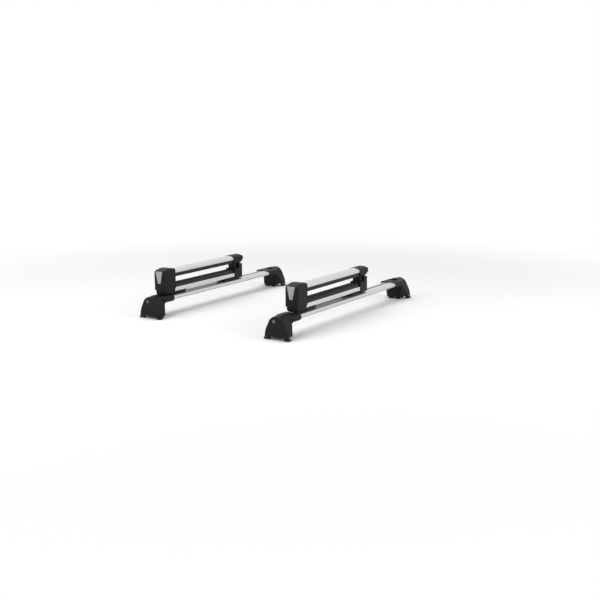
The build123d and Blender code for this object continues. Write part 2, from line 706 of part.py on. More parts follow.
def make_hinge_base():
    """Fixed housing at the far end, with two sockets in which the hinge block's legs slide."""
    socket_gap = moving_gap
    hollow_bottom = lower_arm_bottom_z + arm_wall
    hollow_top = lower_arm_top_z - pad_lip - pad_foot_height - arm_wall
    with BuildPart() as hinge_base:
        base_mid_y = (hinge_base_near_y + hinge_base_far_y) / 2
        with Locations((0, base_mid_y, (base_bottom_z + hinge_base_top_z) / 2)):
            Box(hinge_base_width, hinge_base_far_y - hinge_base_near_y, hinge_base_top_z - base_bottom_z)
        with Locations((0, (tower_near_y + hinge_base_far_y) / 2, (base_bottom_z + tower_top_z) / 2)):
            Box(hinge_base_width, hinge_base_far_y - tower_near_y, tower_top_z - base_bottom_z)
        fillet(hinge_base.edges().filter_by(Axis.Z).group_by(Axis.Y)[-1], radius=hinge_base_corner)
        fillet(hinge_base.faces().sort_by(Axis.Z)[0].edges(), radius=hinge_base_edge)
        fillet(hinge_base.faces().sort_by(Axis.Z)[-1].edges(), radius=arm_edge_radius)
        for near_y, far_y in ((inner_leg_near_y, inner_leg_far_y), (outer_leg_near_y, outer_leg_far_y)):
            socket_bottom = leg_bottom_z - moving_gap
            with Locations((0, (near_y + far_y) / 2, (socket_bottom + tower_top_z + 1) / 2)):
                Box(2 * (leg_half_width + socket_gap), far_y - near_y + 2 * socket_gap,
                    tower_top_z + 1 - socket_bottom, mode=Mode.SUBTRACT)
        with Locations((0, hinge_base_near_y - spigot_length / 2 + 1, (hollow_bottom + hollow_top) / 2)):
            Box(lower_arm_width - 2 * arm_wall - 2 * spigot_gap, spigot_length + 2,
                hollow_top - hollow_bottom - 2 * seat_gap)
    return hinge_base.part


# ================================================================ ski carrier, moving half
def make_hinge_block():
    """Sliding block: two legs in the base's sockets, a cross bar, and the knuckle that holds the pin."""
    legs = ((inner_leg_near_y, inner_leg_far_y), (outer_leg_near_y, outer_leg_far_y))
    with BuildPart() as hinge_block:
        for near_y, far_y in legs:
            with Locations((0, (near_y + far_y) / 2, (leg_bottom_z + block_bar_top_z) / 2)):
                Box(2 * leg_half_width, far_y - near_y, block_bar_top_z - leg_bottom_z)
        bar_mid_y = (inner_leg_near_y + outer_leg_far_y) / 2
        with Locations((0, bar_mid_y, (block_bar_bottom_z + block_bar_top_z) / 2)):
            Box(block_width, outer_leg_far_y - inner_leg_near_y + 4, block_bar_top_z - block_bar_bottom_z)
        fillet(hinge_block.edges().filter_by(Axis.Z), radius=arm_edge_radius)
        with Locations((0, hinge_pin_y - knuckle_radius / 2, (block_bar_bottom_z + hinge_pin_z) / 2)):
            Box(2 * knuckle_half_width, knuckle_radius, hinge_pin_z - block_bar_bottom_z)
        with Locations((0, hinge_pin_y, (block_bar_bottom_z + 3 + hinge_pin_z) / 2)):
            Box(2 * knuckle_half_width, knuckle_neck, hinge_pin_z - block_bar_bottom_z - 3)
        with Locations(Location((0, hinge_pin_y, hinge_pin_z), (0, 90, 0))):
            Cylinder(knuckle_radius, 2 * knuckle_half_width)
            Cylinder(hinge_pin_radius, 4 * knuckle_half_width, mode=Mode.SUBTRACT)
    return hinge_block.part


def make_hinge_pin():
    """Steel pin on which the upper arm turns."""
    with BuildPart() as hinge_pin:
        with Locations(Location((0, hinge_pin_y, hinge_pin_z), (0, 90, 0))):
            Cylinder(hinge_pin_radius, 2 * hinge_pin_half_length)
        chamfer(hinge_pin.edges(), length=0.5)
    return hinge_pin.part


def make_upper_arm():
    """Domed extrusion with a channel for the ski pad along its underside."""
    channel_bottom = upper_arm_bottom_z + pad_lip
    channel_top = channel_bottom + pad_foot_height
    with BuildPart() as upper_arm:
        with BuildSketch(across(upper_arm_near_y)):
            add(upper_arm_section())
            with Locations((0, upper_arm_bottom_z + pad_lip / 2)):
                Rectangle(pad_mouth, pad_lip, mode=Mode.SUBTRACT)
            with Locations((0, (channel_top + channel_bottom) / 2)):
                Rectangle(pad_foot_width, pad_foot_height, mode=Mode.SUBTRACT)
        extrude(amount=upper_arm_near_y - upper_arm_far_y)
        with BuildSketch(across(upper_arm_near_y)):
            add(upper_arm_section(-arm_wall))
            with Locations((0, channel_top + arm_wall - upper_arm_height)):
                Rectangle(2 * upper_arm_width, 2 * upper_arm_height, mode=Mode.SUBTRACT)
        extrude(amount=upper_arm_near_y - upper_arm_far_y, mode=Mode.SUBTRACT)
        fillet([edge for edge in upper_arm.edges().filter_by(Axis.Y)
                if abs(edge.center().Z - upper_arm_bottom_z) < 0.1
                and abs(edge.center().X) > pad_mouth / 2 + 1], radius=arm_edge_radius)
    return upper_arm.part


def make_upper_pad():
    """Grooved rubber pad under the upper arm, with a T-shaped foot in the arm's channel."""
    body_height = upper_arm_bottom_z - upper_pad_bottom_z
    with BuildPart() as upper_pad:
        with BuildSketch(across(pad_near_y)):
            with Locations((0, upper_pad_bottom_z + body_height / 2)):
                RectangleRounded(upper_pad_width, body_height, pad_corner)
            with Locations((-groove_spacing / 2, upper_pad_bottom_z), (groove_spacing / 2, upper_pad_bottom_z)):
                Rectangle(groove_width, 2 * groove_depth, mode=Mode.SUBTRACT)
            with Locations((0, upper_arm_bottom_z + pad_lip / 2)):
                Rectangle(pad_mouth - 2 * seat_gap, pad_lip + 1)
            with Locations((0, upper_arm_bottom_z + pad_lip + pad_foot_height / 2)):
                Rectangle(pad_foot_width - 2 * seat_gap, pad_foot_height - 2 * seat_gap)
        extrude(amount=pad_near_y - pad_far_y)
    return upper_pad.part


def make_latch_housing():
    """Shell on the upper arm's near end: it holds the button, the pawl on its pin, and the lock."""
    half = housing_width / 2
    front_y = latch_face_y + housing_wall
    cavity_top_z = upper_arm_bottom_z - housing_wall
    cavity_back_y = latch_back_y - housing_wall
    lever_room_y = upper_arm_near_y - 2
    boss_inner = pawl_half_width + moving_gap
    with BuildPart() as latch_housing:
        with BuildSketch(Plane.YZ):
            with BuildLine():
                FilletPolyline((latch_face_y, housing_bottom_z), (latch_face_y, housing_brow_z),
                               (housing_crown_y, housing_crown_z), (latch_back_y, housing_back_z),
                               (latch_back_y, housing_bottom_z),
                               radius=[housing_brow_radius, housing_crown_radius, housing_heel_radius])
                Line((latch_back_y, housing_bottom_z), (latch_face_y, housing_bottom_z))
            make_face()
        extrude(amount=half, both=True)
        fillet([edge for edge in latch_housing.edges()
                if abs(abs(edge.center().X) - half) < 0.01 and edge.center().Z > housing_bottom_z + 1
                and edge.center().Y < latch_back_y - 1], radius=housing_edge_radius)
        with Locations((0, (front_y + cavity_back_y) / 2, (housing_bottom_z + cavity_top_z) / 2 - 1)):
            Box(housing_width - 2 * housing_wall, cavity_back_y - front_y, cavity_top_z - housing_bottom_z + 2,
                mode=Mode.SUBTRACT)
        with Locations((0, (front_y + lever_room_y) / 2, (cavity_top_z + lever_room_top_z) / 2)):
            Box(lever_room_width, lever_room_y - front_y, lever_room_top_z - cavity_top_z, mode=Mode.SUBTRACT)
        # The inner wall stops above the lower arm and its pad.
        with Locations((0, latch_back_y - housing_wall / 2, housing_bottom_z)):
            Box(2 * housing_width, 2 * housing_wall, 2 * (lower_arm_top_z + 2 - housing_bottom_z),
                mode=Mode.SUBTRACT)
        with BuildSketch(across(upper_arm_near_y - seat_gap)):
            add(upper_arm_section(seat_gap))
        extrude(amount=upper_arm_near_y - latch_back_y - 5, mode=Mode.SUBTRACT)
        # Bosses for the pawl's pin, seats for the button's springs, and the lock's boss.
        for side in (-1, 1):
            boss_length = half - boss_inner - 1
            with Locations(Location((side * (boss_inner + boss_length / 2), pawl_pin_y, pawl_pin_z), (0, 90, 0))):
                Cylinder(pawl_barrel_radius - 0.5, boss_length)
            with Locations((side * (half - 1 + pawl_half_width + 2) / 2, pawl_pin_y + 2.5, stem_z)):
                Box(half - 1 - pawl_half_width - 2, 3, spring_seat_height)
        with Locations(Location((0, pawl_pin_y, pawl_pin_z), (0, 90, 0))):
            Cylinder(pawl_pin_radius, 2 * housing_width, mode=Mode.SUBTRACT)
        boss_depth = lock_length - lock_proud - housing_wall - cam_thickness
        with Locations(Location((-half + housing_wall + boss_depth / 2, lock_y, lock_z), (0, 90, 0))):
            Cylinder(lock_radius + lock_boss_wall, boss_depth)
        with Locations(Location((-half, lock_y, lock_z), (0, 90, 0))):
            Cylinder(lock_radius + running_gap, 3 * lock_length, mode=Mode.SUBTRACT)
        with BuildSketch(across(latch_face_y - 1)):
            add(button_section(button_window_gap))
        extrude(amount=-housing_wall - 1, mode=Mode.SUBTRACT)
    return latch_housing.part


def make_push_button():
    """Push button with a retaining flange behind the housing's wall and a stem for the pawl."""
    flange_front = latch_face_y + housing_wall + moving_gap
    flange_back = flange_front + button_plate
    stem_tip = pawl_pin_y - pawl_lever_thickness / 2 - 0.5
    with BuildPart() as push_button:
        with BuildSketch(across(latch_face_y - button_proud)):
            add(button_section())
        extrude(amount=latch_face_y - button_proud - flange_back)
        fillet(push_button.faces().sort_by(Axis.Y)[0].edges(), radius=0.6)
        with BuildSketch(across(flange_front)):
            add(button_section(button_flange))
        extrude(amount=flange_front - flange_back)
        with Locations((0, (flange_back + stem_tip) / 2, stem_z)):
            Box(2 * stem_half_width, stem_tip - flange_back, stem_height)
    return push_button.part


def make_button_springs():
    """Two coil springs between the button's back and the housing's seats."""
    start_y = latch_face_y + housing_wall + moving_gap + button_plate + moving_gap
    end_y = pawl_pin_y + 1 - moving_gap
    coil_height = end_y - start_y - 2 * spring_wire
    with BuildPart() as springs:
        for side in (-1, 1):
            with BuildLine() as coil:
                Helix(pitch=coil_height / spring_turns, height=coil_height, radius=spring_radius,
                      center=(side * spring_x, start_y + spring_wire, stem_z), direction=(0, 1, 0))
            with BuildSketch(Plane(origin=coil.line @ 0, z_dir=coil.line % 0)):
                Circle(spring_wire)
            sweep(path=coil.line, is_frenet=True)
    return springs.part


def make_latch_pawl():
    """Steel pawl: a barrel on the pin, a lever that the button pushes and a leg with the hooked toe."""
    lever_near = pawl_pin_y - pawl_lever_thickness / 2
    lever_far = pawl_pin_y + pawl_lever_thickness / 2
    toe_tip_y = striker_near_y - nose_reach - moving_gap - 0.1
    toe_top_z = pawl_toe_bottom_z + pawl_toe_height
    leg_far = pawl_leg_near_y + pawl_leg_thickness
    with BuildPart() as latch_pawl:
        with BuildSketch(Plane.YZ):
            with BuildLine():
                Polyline((lever_near, pawl_lever_top_z), (lever_near, striker_top_z + 6.5),
                         (pawl_leg_near_y + 1, striker_top_z + 0.5), (pawl_leg_near_y, striker_top_z - 3),
                         (pawl_leg_near_y, pawl_toe_bottom_z + 2.5), (pawl_leg_near_y + 2, pawl_toe_bottom_z),
                         (toe_tip_y, pawl_toe_bottom_z + 1), (toe_tip_y, toe_top_z),
                         (leg_far, toe_top_z), (leg_far, toe_top_z + 1),
                         (toe_tip_y, striker_top_z + 0.8), (lever_far, striker_top_z + 5),
                         (lever_far, pawl_lever_top_z), close=True)
            make_face()
        extrude(amount=pawl_half_width, both=True)
        with Locations(Location((0, pawl_pin_y, pawl_pin_z), (0, 90, 0))):
            Cylinder(pawl_barrel_radius, 2 * pawl_half_width)
            Cylinder(pawl_pin_radius + running_gap, 3 * pawl_half_width, mode=Mode.SUBTRACT)
    return latch_pawl.part


def make_pawl_pin():
    """Pin that carries the pawl, held in the housing's side walls."""
    with BuildPart() as pawl_pin:
        with Locations(Location((0, pawl_pin_y, pawl_pin_z), (0, 90, 0))):
            Cylinder(pawl_pin_radius, housing_width - 1)
    return pawl_pin.part


def make_carrier_lock():
    """Key cylinder in the housing's side wall, with its keyway and the cam inside."""
    head_x = -housing_width / 2 - lock_proud
    with BuildPart() as carrier_lock:
        with Locations(Location((head_x + lock_length / 2, lock_y, lock_z), (0, 90, 0))):
            Cylinder(lock_radius, lock_length)
        chamfer(carrier_lock.faces().sort_by(Axis.X)[0].edges(), length=0.6)
        with Locations((head_x + lock_length - cam_thickness / 2 + cam_thickness, lock_y,
                        lock_z + (cam_length - cam_width / 2) / 2)):
            Box(cam_thickness, cam_width, cam_length + cam_width / 2)
        with Locations((head_x, lock_y, lock_z)):
            Box(2 * keyway_depth, keyway_width, keyway_length, mode=Mode.SUBTRACT)
    return carrier_lock.part


def make_hinge_cap():
    """Cap on the upper arm's far end: a sleeve over the arm, closed by the hinge's rounded end."""
    half = cap_width / 2
    heel_mid = cap_heel_radius * (1 - sqrt(0.5))
    end_mid = hinge_end_radius * sqrt(0.5)
    with BuildPart() as hinge_cap:
        with BuildSketch(Plane.YZ):
            with BuildLine():
                Polyline((cap_tip_y, cap_top_z), (cap_tip_y, cap_bottom_z),
                         (hinge_pin_y, hinge_pin_z - hinge_end_radius))
                ThreePointArc((hinge_pin_y, hinge_pin_z - hinge_end_radius),
                              (hinge_pin_y + end_mid, hinge_pin_z - end_mid), (cap_far_y, hinge_pin_z))
                Line((cap_far_y, hinge_pin_z), (cap_far_y, cap_top_z - cap_heel_radius))
                ThreePointArc((cap_far_y, cap_top_z - cap_heel_radius),
                              (cap_far_y - heel_mid, cap_top_z - heel_mid),
                              (cap_far_y - cap_heel_radius, cap_top_z))
                Line((cap_far_y - cap_heel_radius, cap_top_z), (cap_tip_y, cap_top_z))
            make_face()
        extrude(amount=half, both=True)
        with BuildSketch(across(cap_tip_y - 1)):
            add(upper_arm_section(cap_wall))
            with Locations((0, (cap_bottom_z - 1 + upper_arm_side_z) / 2)):
                Rectangle(cap_width, upper_arm_side_z - cap_bottom_z + 1)
        extrude(amount=cap_tip_y - cap_far_y - 2, mode=Mode.INTERSECT)
        fillet(hinge_cap.faces().sort_by(Axis.Y)[0].edges().filter_by(
            lambda edge: edge.center().Z > cap_bottom_z + 1), radius=1.2)
        # The arm's socket.
        with BuildSketch(across(cap_tip_y - 1)):
            add(upper_arm_section(seat_gap))
        extrude(amount=cap_tip_y - 1 - upper_arm_far_y - seat_gap, mode=Mode.SUBTRACT)
        # Room for the block's knuckle, open below and behind, and the running bores for the pin.
        with Locations((0, hinge_pin_y + 5, (cap_bottom_z + hinge_pin_z + knuckle_radius) / 2)):
            Box(2 * (knuckle_half_width + moving_gap), 30,
                hinge_pin_z + knuckle_radius + 1 - cap_bottom_z + 2, mode=Mode.SUBTRACT)
        with Locations(Location((0, hinge_pin_y, hinge_pin_z), (0, 90, 0))):
            Cylinder(hinge_pin_radius + running_gap, 2 * (hinge_pin_half_length + moving_gap),
                     mode=Mode.SUBTRACT)
    return hinge_cap.part


# ================================================================ assembly
os.makedirs("parts", exist_ok=True)

# Crossbars and the strips in their slots.
bars = {"front": (bar_spacing / 2, front_half_span), "rear": (-bar_spacing / 2, rear_half_span)}
for name, (bar_x, half_span) in bars.items():
    write(make_crossbar(half_span).moved(Location((bar_x, 0, 0))), f"{name}_crossbar")
write(make_slot_strips(), "slot_strips")

# Foot packs: one set of pieces, placed four times. Only the bar's socket is handed in the base.
foot_pieces = {
    "foot_cover": make_foot_cover(),
    "foot_lock": make_foot_lock(),
    "clamp_jaw": make_clamp_jaw(),
    "clamp_bolt": make_clamp_bolt(),
}
foot_places = {}
for name, (bar_x, half_span) in bars.items():
    foot_places[f"{name}_near"] = Location((bar_x, -half_span, 0))
    foot_places[f"{name}_far"] = Location((bar_x, half_span, 0), (0, 0, 180))
for corner, place in foot_places.items():
    nose_side = 1 if "near" in corner else -1
    write(make_foot_base(nose_side).moved(place), f"{corner}_foot_base")
    for piece_name, piece in foot_pieces.items():
        write(piece.moved(place), f"{corner}_{piece_name}")
rail_pads = [make_rail_pad().moved(place) for place in foot_places.values()]
write(Compound(children=rail_pads), "rail_pads")
cover_pins = [pin for place in foot_places.values() for pin in make_cover_pins().moved(place).solids()]
write(Compound(children=cover_pins), "cover_pins")

# Ski carriers: one set of pieces, placed on each bar.
carrier_pieces = {
    "lower_arm": make_lower_arm(),
    "lower_pad": make_lower_pad(),
    "latch_base": make_latch_base(),
    "bar_mounts": make_mounts(),
    "t_bolts": make_t_bolts(),
    "hinge_base": make_hinge_base(),
    "hinge_block": make_hinge_block(),
    "hinge_pin": make_hinge_pin(),
    "upper_arm": make_upper_arm(),
    "upper_pad": make_upper_pad(),
    "latch_housing": make_latch_housing(),
    "push_button": make_push_button(),
    "button_springs": make_button_springs(),
    "latch_pawl": make_latch_pawl(),
    "pawl_pin": make_pawl_pin(),
    "carrier_lock": make_carrier_lock(),
    "hinge_cap": make_hinge_cap(),
}
for name, (bar_x, half_span) in bars.items():
    for piece_name, piece in carrier_pieces.items():
        write(piece.moved(Location((bar_x, 0, 0))), f"{name}_{piece_name}")
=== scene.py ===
# %% [markdown]
# # Roof ski rack
# A roof ski rack is two crossbars on four foot packs, with a ski carrier clamped across each bar. This
# lesson loads the measured parts as a frame, gives every one a finish, and models by hand the pieces
# that the eye lands on: foot covers, latch housings, buttons, rubber pads and latch bases.

# %% Load the frame
import json
import math
import bmesh
import bpy
from mathutils import Matrix, Vector


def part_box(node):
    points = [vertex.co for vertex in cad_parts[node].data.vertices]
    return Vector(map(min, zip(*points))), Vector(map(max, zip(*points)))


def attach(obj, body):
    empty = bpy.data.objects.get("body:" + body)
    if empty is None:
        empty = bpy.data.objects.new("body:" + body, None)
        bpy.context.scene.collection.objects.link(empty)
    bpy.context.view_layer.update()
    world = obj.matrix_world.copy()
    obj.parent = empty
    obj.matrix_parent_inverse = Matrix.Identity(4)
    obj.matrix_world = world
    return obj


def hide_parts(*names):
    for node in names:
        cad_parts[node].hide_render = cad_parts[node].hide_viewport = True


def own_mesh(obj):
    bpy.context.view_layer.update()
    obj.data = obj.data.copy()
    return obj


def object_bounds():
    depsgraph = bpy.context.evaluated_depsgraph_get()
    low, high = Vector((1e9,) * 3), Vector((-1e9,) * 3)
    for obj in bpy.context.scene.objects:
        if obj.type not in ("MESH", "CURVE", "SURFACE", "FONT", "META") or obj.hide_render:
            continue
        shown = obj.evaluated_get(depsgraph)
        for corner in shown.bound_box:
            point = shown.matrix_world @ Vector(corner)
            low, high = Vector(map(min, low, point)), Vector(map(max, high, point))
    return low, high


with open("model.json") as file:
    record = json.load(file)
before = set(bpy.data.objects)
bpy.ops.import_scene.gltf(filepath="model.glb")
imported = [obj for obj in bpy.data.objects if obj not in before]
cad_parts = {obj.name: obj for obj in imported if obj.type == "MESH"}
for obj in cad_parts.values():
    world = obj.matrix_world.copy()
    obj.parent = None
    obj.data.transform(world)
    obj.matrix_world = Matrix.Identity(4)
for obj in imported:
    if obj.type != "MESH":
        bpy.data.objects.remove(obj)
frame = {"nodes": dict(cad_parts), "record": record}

cad_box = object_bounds()
corners = [f"{bar}_{side}" for bar in ("front", "rear") for side in ("near", "far")]
carriers = ["front", "rear"]
print("rack measures", [round(high - low, 3) for low, high in zip(*cad_box)])

# %% [markdown]
# The camera stands at head height off the car's near front quarter, which shows the long side of
# the feet, both latches and the tops of the arms at once. It is placed by where it looks and from how
# far, since a distance and two angles are easier to adjust than three coordinates.

# %% Camera
CAMERA_TURN = math.radians(33.36)
CAMERA_DIP = math.radians(11.32)
CAMERA_ROLL = math.radians(-0.4)
CAMERA_DISTANCE = 4.428
CAMERA_LENS = 57.96
SENSOR_WIDTH = 36.0
LOOK_SHIFT = Vector((0.0894, 0.0424, -0.0661))
rack_middle = (Vector(cad_box[0]) + Vector(cad_box[1])) / 2
look_at = rack_middle + LOOK_SHIFT

camera = bpy.data.objects.new("camera", bpy.data.cameras.new("camera"))
bpy.context.scene.collection.objects.link(camera)
camera.data.lens = CAMERA_LENS
camera.data.sensor_width = SENSOR_WIDTH
camera.data.clip_end = 100.0
aim = Matrix.Rotation(CAMERA_TURN, 4, "Z") @ Matrix.Rotation(math.pi / 2 - CAMERA_DIP, 4, "X")
camera.matrix_world = (Matrix.Translation(look_at) @ aim @ Matrix.Translation((0, 0, CAMERA_DISTANCE))
                       @ Matrix.Rotation(CAMERA_ROLL, 4, "Z"))
bpy.context.scene.camera = camera
print("camera at", [round(value, 3) for value in camera.matrix_world.translation])

# %% [markdown]
# The set is a plain white floor under a white sky. Making it white with brighter lamps would wash the
# rack out, so the rays from the camera and from reflections see plain white instead, and all other
# rays see the real surface. The floor and the sky both use this, so it is a helper.

# %% White behind the rack
def show_white(tree, surface, glow_type, fade=None):
    """Shows plain white instead of a surface to rays from the camera, a reflection or glass."""
    nodes, links = tree.nodes, tree.links
    path = nodes.new("ShaderNodeLightPath")
    seen = path.outputs["Is Camera Ray"]
    for ray in ("Is Glossy Ray", "Is Transmission Ray"):
        either = nodes.new("ShaderNodeMath")
        either.operation = "MAXIMUM"
        links.new(seen, either.inputs[0])
        links.new(path.outputs[ray], either.inputs[1])
        seen = either.outputs[0]
    if fade is not None:
        part = nodes.new("ShaderNodeMath")
        part.operation = "MULTIPLY"
        links.new(seen, part.inputs[0])
        links.new(fade, part.inputs[1])
        seen = part.outputs[0]
    glow = nodes.new(glow_type)
    glow.inputs["Color"].default_value = (1, 1, 1, 1)
    glow.inputs["Strength"].default_value = 1.0
    mix = nodes.new("ShaderNodeMixShader")
    links.new(seen, mix.inputs["Fac"])
    links.new(surface, mix.inputs[1])
    links.new(glow.outputs[0], mix.inputs[2])
    return mix.outputs[0]


print("helper", show_white.__name__)

# %% [markdown]
# The floor has to keep the rack's shadow, which tells the eye that the rack stands on something. So
# near the rack it is an ordinary pale floor, and further out it fades to the plain white.

# %% Floor
FLOOR_SIZE = 40.0
FLOOR_GREY = 0.9
FADE_START, FADE_END = 0.9, 2.6
bpy.ops.mesh.primitive_plane_add(size=FLOOR_SIZE, location=(0, 0, cad_box[0][2]))
floor = bpy.context.object
floor.name = "floor"
floor_paint = bpy.data.materials.new("floor_paint")
floor_paint.use_nodes = True
floor_tree = floor_paint.node_tree
floor_shader = floor_tree.nodes["Principled BSDF"]
floor_shader.inputs["Base Color"].default_value = (FLOOR_GREY, FLOOR_GREY, FLOOR_GREY, 1)
floor_shader.inputs["Roughness"].default_value = 0.9
floor_shader.inputs["Specular IOR Level"].default_value = 0.1
floor_place = floor_tree.nodes.new("ShaderNodeTexCoord")
floor_distance = floor_tree.nodes.new("ShaderNodeVectorMath")
floor_distance.operation = "LENGTH"
floor_tree.links.new(floor_place.outputs["Object"], floor_distance.inputs[0])
floor_fade = floor_tree.nodes.new("ShaderNodeMapRange")
floor_fade.interpolation_type = "SMOOTHSTEP"
floor_fade.inputs["From Min"].default_value = FADE_START
floor_fade.inputs["From Max"].default_value = FADE_END
floor_tree.links.new(floor_distance.outputs["Value"], floor_fade.inputs["Value"])
floor_shown = show_white(floor_tree, floor_shader.outputs[0], "ShaderNodeEmission", floor_fade.outputs[0])
floor_tree.links.new(floor_shown, floor_tree.nodes["Material Output"].inputs["Surface"])
floor.data.materials.append(floor_paint)
print("floor fades from", FADE_START, "to", FADE_END, "metres")

# %% [markdown]
# Large soft lamps above, beside and in front of the rack model its round edges without hard
# highlights. Together with the sky they stay at a plain level, at which a finish shows its own colour.

# %% Sky and lamps
SKY_STRENGTH = 0.5
world = bpy.data.worlds.new("studio")
world.use_nodes = True
bpy.context.scene.world = world
sky = world.node_tree.nodes["Background"]
sky.inputs["Color"].default_value = (1, 1, 1, 1)
sky.inputs["Strength"].default_value = SKY_STRENGTH
sky_shown = show_white(world.node_tree, sky.outputs[0], "ShaderNodeBackground")
world.node_tree.links.new(sky_shown, world.node_tree.nodes["World Output"].inputs["Surface"])


def add_lamp(name, place, size, power):
    """Square area lamp at a place, turned towards the middle of the rack."""
    lamp = bpy.data.objects.new(name, bpy.data.lights.new(name, "AREA"))
    bpy.context.scene.collection.objects.link(lamp)
    lamp.data.size = size
    lamp.data.energy = power
    lamp.location = place
    lamp.rotation_euler = (rack_middle - Vector(place)).to_track_quat("-Z", "Y").to_euler()


add_lamp("lamp_above", place=(-0.6, -0.4, 3.2), size=2.6, power=54)
add_lamp("lamp_near", place=(-1.2, -3.2, 1.8), size=2.0, power=40)
add_lamp("lamp_front", place=(3.2, 0.4, 1.4), size=1.8, power=40)
bpy.context.scene.view_settings.view_transform = "Standard"

# %% [markdown]
# Every finish starts from the same shader and gets its grain from patterns in Object coordinates,
# which are metres in the rack's own frame, so that the grain of a small piece and of a long bar have
# the same size. Three helpers start a finish, add a pattern to it, and spread the pattern's values.

# %% Helpers for patterns
def new_material(name, colour, roughness, metallic=0.0, specular=0.5):
    """Starts a finish and returns it with its shader."""
    material = bpy.data.materials.new(name)
    material.use_nodes = True
    shader = material.node_tree.nodes["Principled BSDF"]
    shader.inputs["Base Color"].default_value = (*colour, 1)
    shader.inputs["Roughness"].default_value = roughness
    shader.inputs["Metallic"].default_value = metallic
    shader.inputs["Specular IOR Level"].default_value = specular
    return material, shader


def add_pattern(material, scale, stretch=(1, 1, 1), detail=4.0, kind="ShaderNodeTexNoise"):
    """Adds a pattern with that many cells to the metre, and returns its value socket."""
    nodes, links = material.node_tree.nodes, material.node_tree.links
    place = nodes.new("ShaderNodeTexCoord")
    mapping = nodes.new("ShaderNodeMapping")
    mapping.inputs["Scale"].default_value = stretch
    links.new(place.outputs["Object"], mapping.inputs["Vector"])
    texture = nodes.new(kind)
    texture.inputs["Scale"].default_value = scale
    texture.inputs["Detail"].default_value = detail
    links.new(mapping.outputs["Vector"], texture.inputs["Vector"])
    return texture.outputs[0]


def spread(material, value, low, high, start=0.3, end=0.7):
    """Spreads a pattern's middle values over a range and clamps the rest."""
    ramp = material.node_tree.nodes.new("ShaderNodeMapRange")
    ramp.inputs["From Min"].default_value = start
    ramp.inputs["From Max"].default_value = end
    ramp.inputs["To Min"].default_value = low
    ramp.inputs["To Max"].default_value = high
    material.node_tree.links.new(value, ramp.inputs["Value"])
    return ramp.outputs[0]


print("helpers", new_material.__name__, add_pattern.__name__, spread.__name__)

# %% [markdown]
# A pattern can change a finish in three ways: it can run the colour between two shades, make the sheen
# uneven, or raise and lower the surface. Real parts show a little of all three.

# %% Helpers that use a pattern
def vary_colour(material, shader, value, dark, light):
    """Runs the base colour between two shades with a pattern."""
    mix = material.node_tree.nodes.new("ShaderNodeMix")
    mix.data_type = "RGBA"
    mix.inputs["A"].default_value = (*dark, 1)
    mix.inputs["B"].default_value = (*light, 1)
    material.node_tree.links.new(value, mix.inputs["Factor"])
    material.node_tree.links.new(mix.outputs["Result"], shader.inputs["Base Color"])


def vary_roughness(material, shader, value, low, high):
    """Runs the roughness between two values with a pattern."""
    rough = spread(material, value, low, high)
    material.node_tree.links.new(rough, shader.inputs["Roughness"])


def add_bump(material, shader, value, height):
    """Raises the surface with a pattern, by a height in metres."""
    bump = material.node_tree.nodes.new("ShaderNodeBump")
    bump.inputs["Strength"].default_value = 1.0
    bump.inputs["Distance"].default_value = height
    material.node_tree.links.new(value, bump.inputs["Height"])
    material.node_tree.links.new(bump.outputs["Normal"], shader.inputs["Normal"])


def dimmed(colour, share):
    """Gives a share of a colour, which is the same hue and darker."""
    return [share * level for level in colour]


print("helpers", vary_colour.__name__, vary_roughness.__name__, add_bump.__name__)

# %% [markdown]
# The bars and arms are aluminium pushed through a die and anodised, so faint lines run along their
# length, which is along Y here. A noise squeezed hard across and stretched along Y gives those lines,
# and a broad soft noise clouds the satin as handling does.

# %% Anodised aluminium
LINES_ACROSS, LINES_ALONG = 2600, 6
LINE_HEIGHT = 0.000012
CLOUDS = 14.0
CLOUD_SHADE = 0.93


def make_aluminium(name, colour, roughness):
    """Satin anodised aluminium with fine lines along Y."""
    material, shader = new_material(name, colour, roughness, metallic=1.0)
    lines = add_pattern(material, 1.0, stretch=(LINES_ACROSS, LINES_ALONG, LINES_ACROSS), detail=2.0)
    clouds = spread(material, add_pattern(material, CLOUDS, detail=6.0), 0.0, 1.0)
    vary_colour(material, shader, clouds, dimmed(colour, CLOUD_SHADE), colour)
    vary_roughness(material, shader, lines, roughness - 0.05, roughness + 0.09)
    add_bump(material, shader, lines, LINE_HEIGHT)
    return material


arm_aluminium = make_aluminium("arm_aluminium", (0.66, 0.66, 0.67), roughness=0.34)
bar_aluminium = make_aluminium("bar_aluminium", (0.62, 0.62, 0.63), roughness=0.36)
print("finishes", arm_aluminium.name, bar_aluminium.name)

# %% [markdown]
# Black glass-filled nylon comes out of its mould with a fine spark-eroded grain and picks up a little
# dust and rubbing. One fine noise makes the grain, a second and broader one shifts the sheen.

# %% Moulded plastics and rubber
WEAR_PATCHES = 22.0
GRAIN_HEIGHT = 0.00006


def make_moulded(name, colour, roughness, grain, dust, specular):
    """Moulded plastic or rubber with a fine grain and a broad change of sheen."""
    material, shader = new_material(name, colour, roughness, specular=specular)
    fine = add_pattern(material, grain, detail=3.0)
    broad = add_pattern(material, WEAR_PATCHES, detail=8.0)
    dusty = [level + dust for level in colour]
    vary_colour(material, shader, spread(material, broad, 0.0, 1.0), colour, dusty)
    vary_roughness(material, shader, broad, roughness - 0.05, roughness + 0.06)
    add_bump(material, shader, fine, GRAIN_HEIGHT)
    return material


black_plastic = make_moulded("black_plastic", (0.007, 0.007, 0.0075), roughness=0.46,
                             grain=1500.0, dust=0.003, specular=0.14)
button_grey = make_moulded("button_grey", (0.33, 0.33, 0.34), roughness=0.42,
                           grain=1900.0, dust=0.02, specular=0.4)
pad_rubber = make_moulded("pad_rubber", (0.020, 0.020, 0.021), roughness=0.74,
                          grain=900.0, dust=0.008, specular=0.2)
print("finishes", black_plastic.name, button_grey.name, pad_rubber.name)

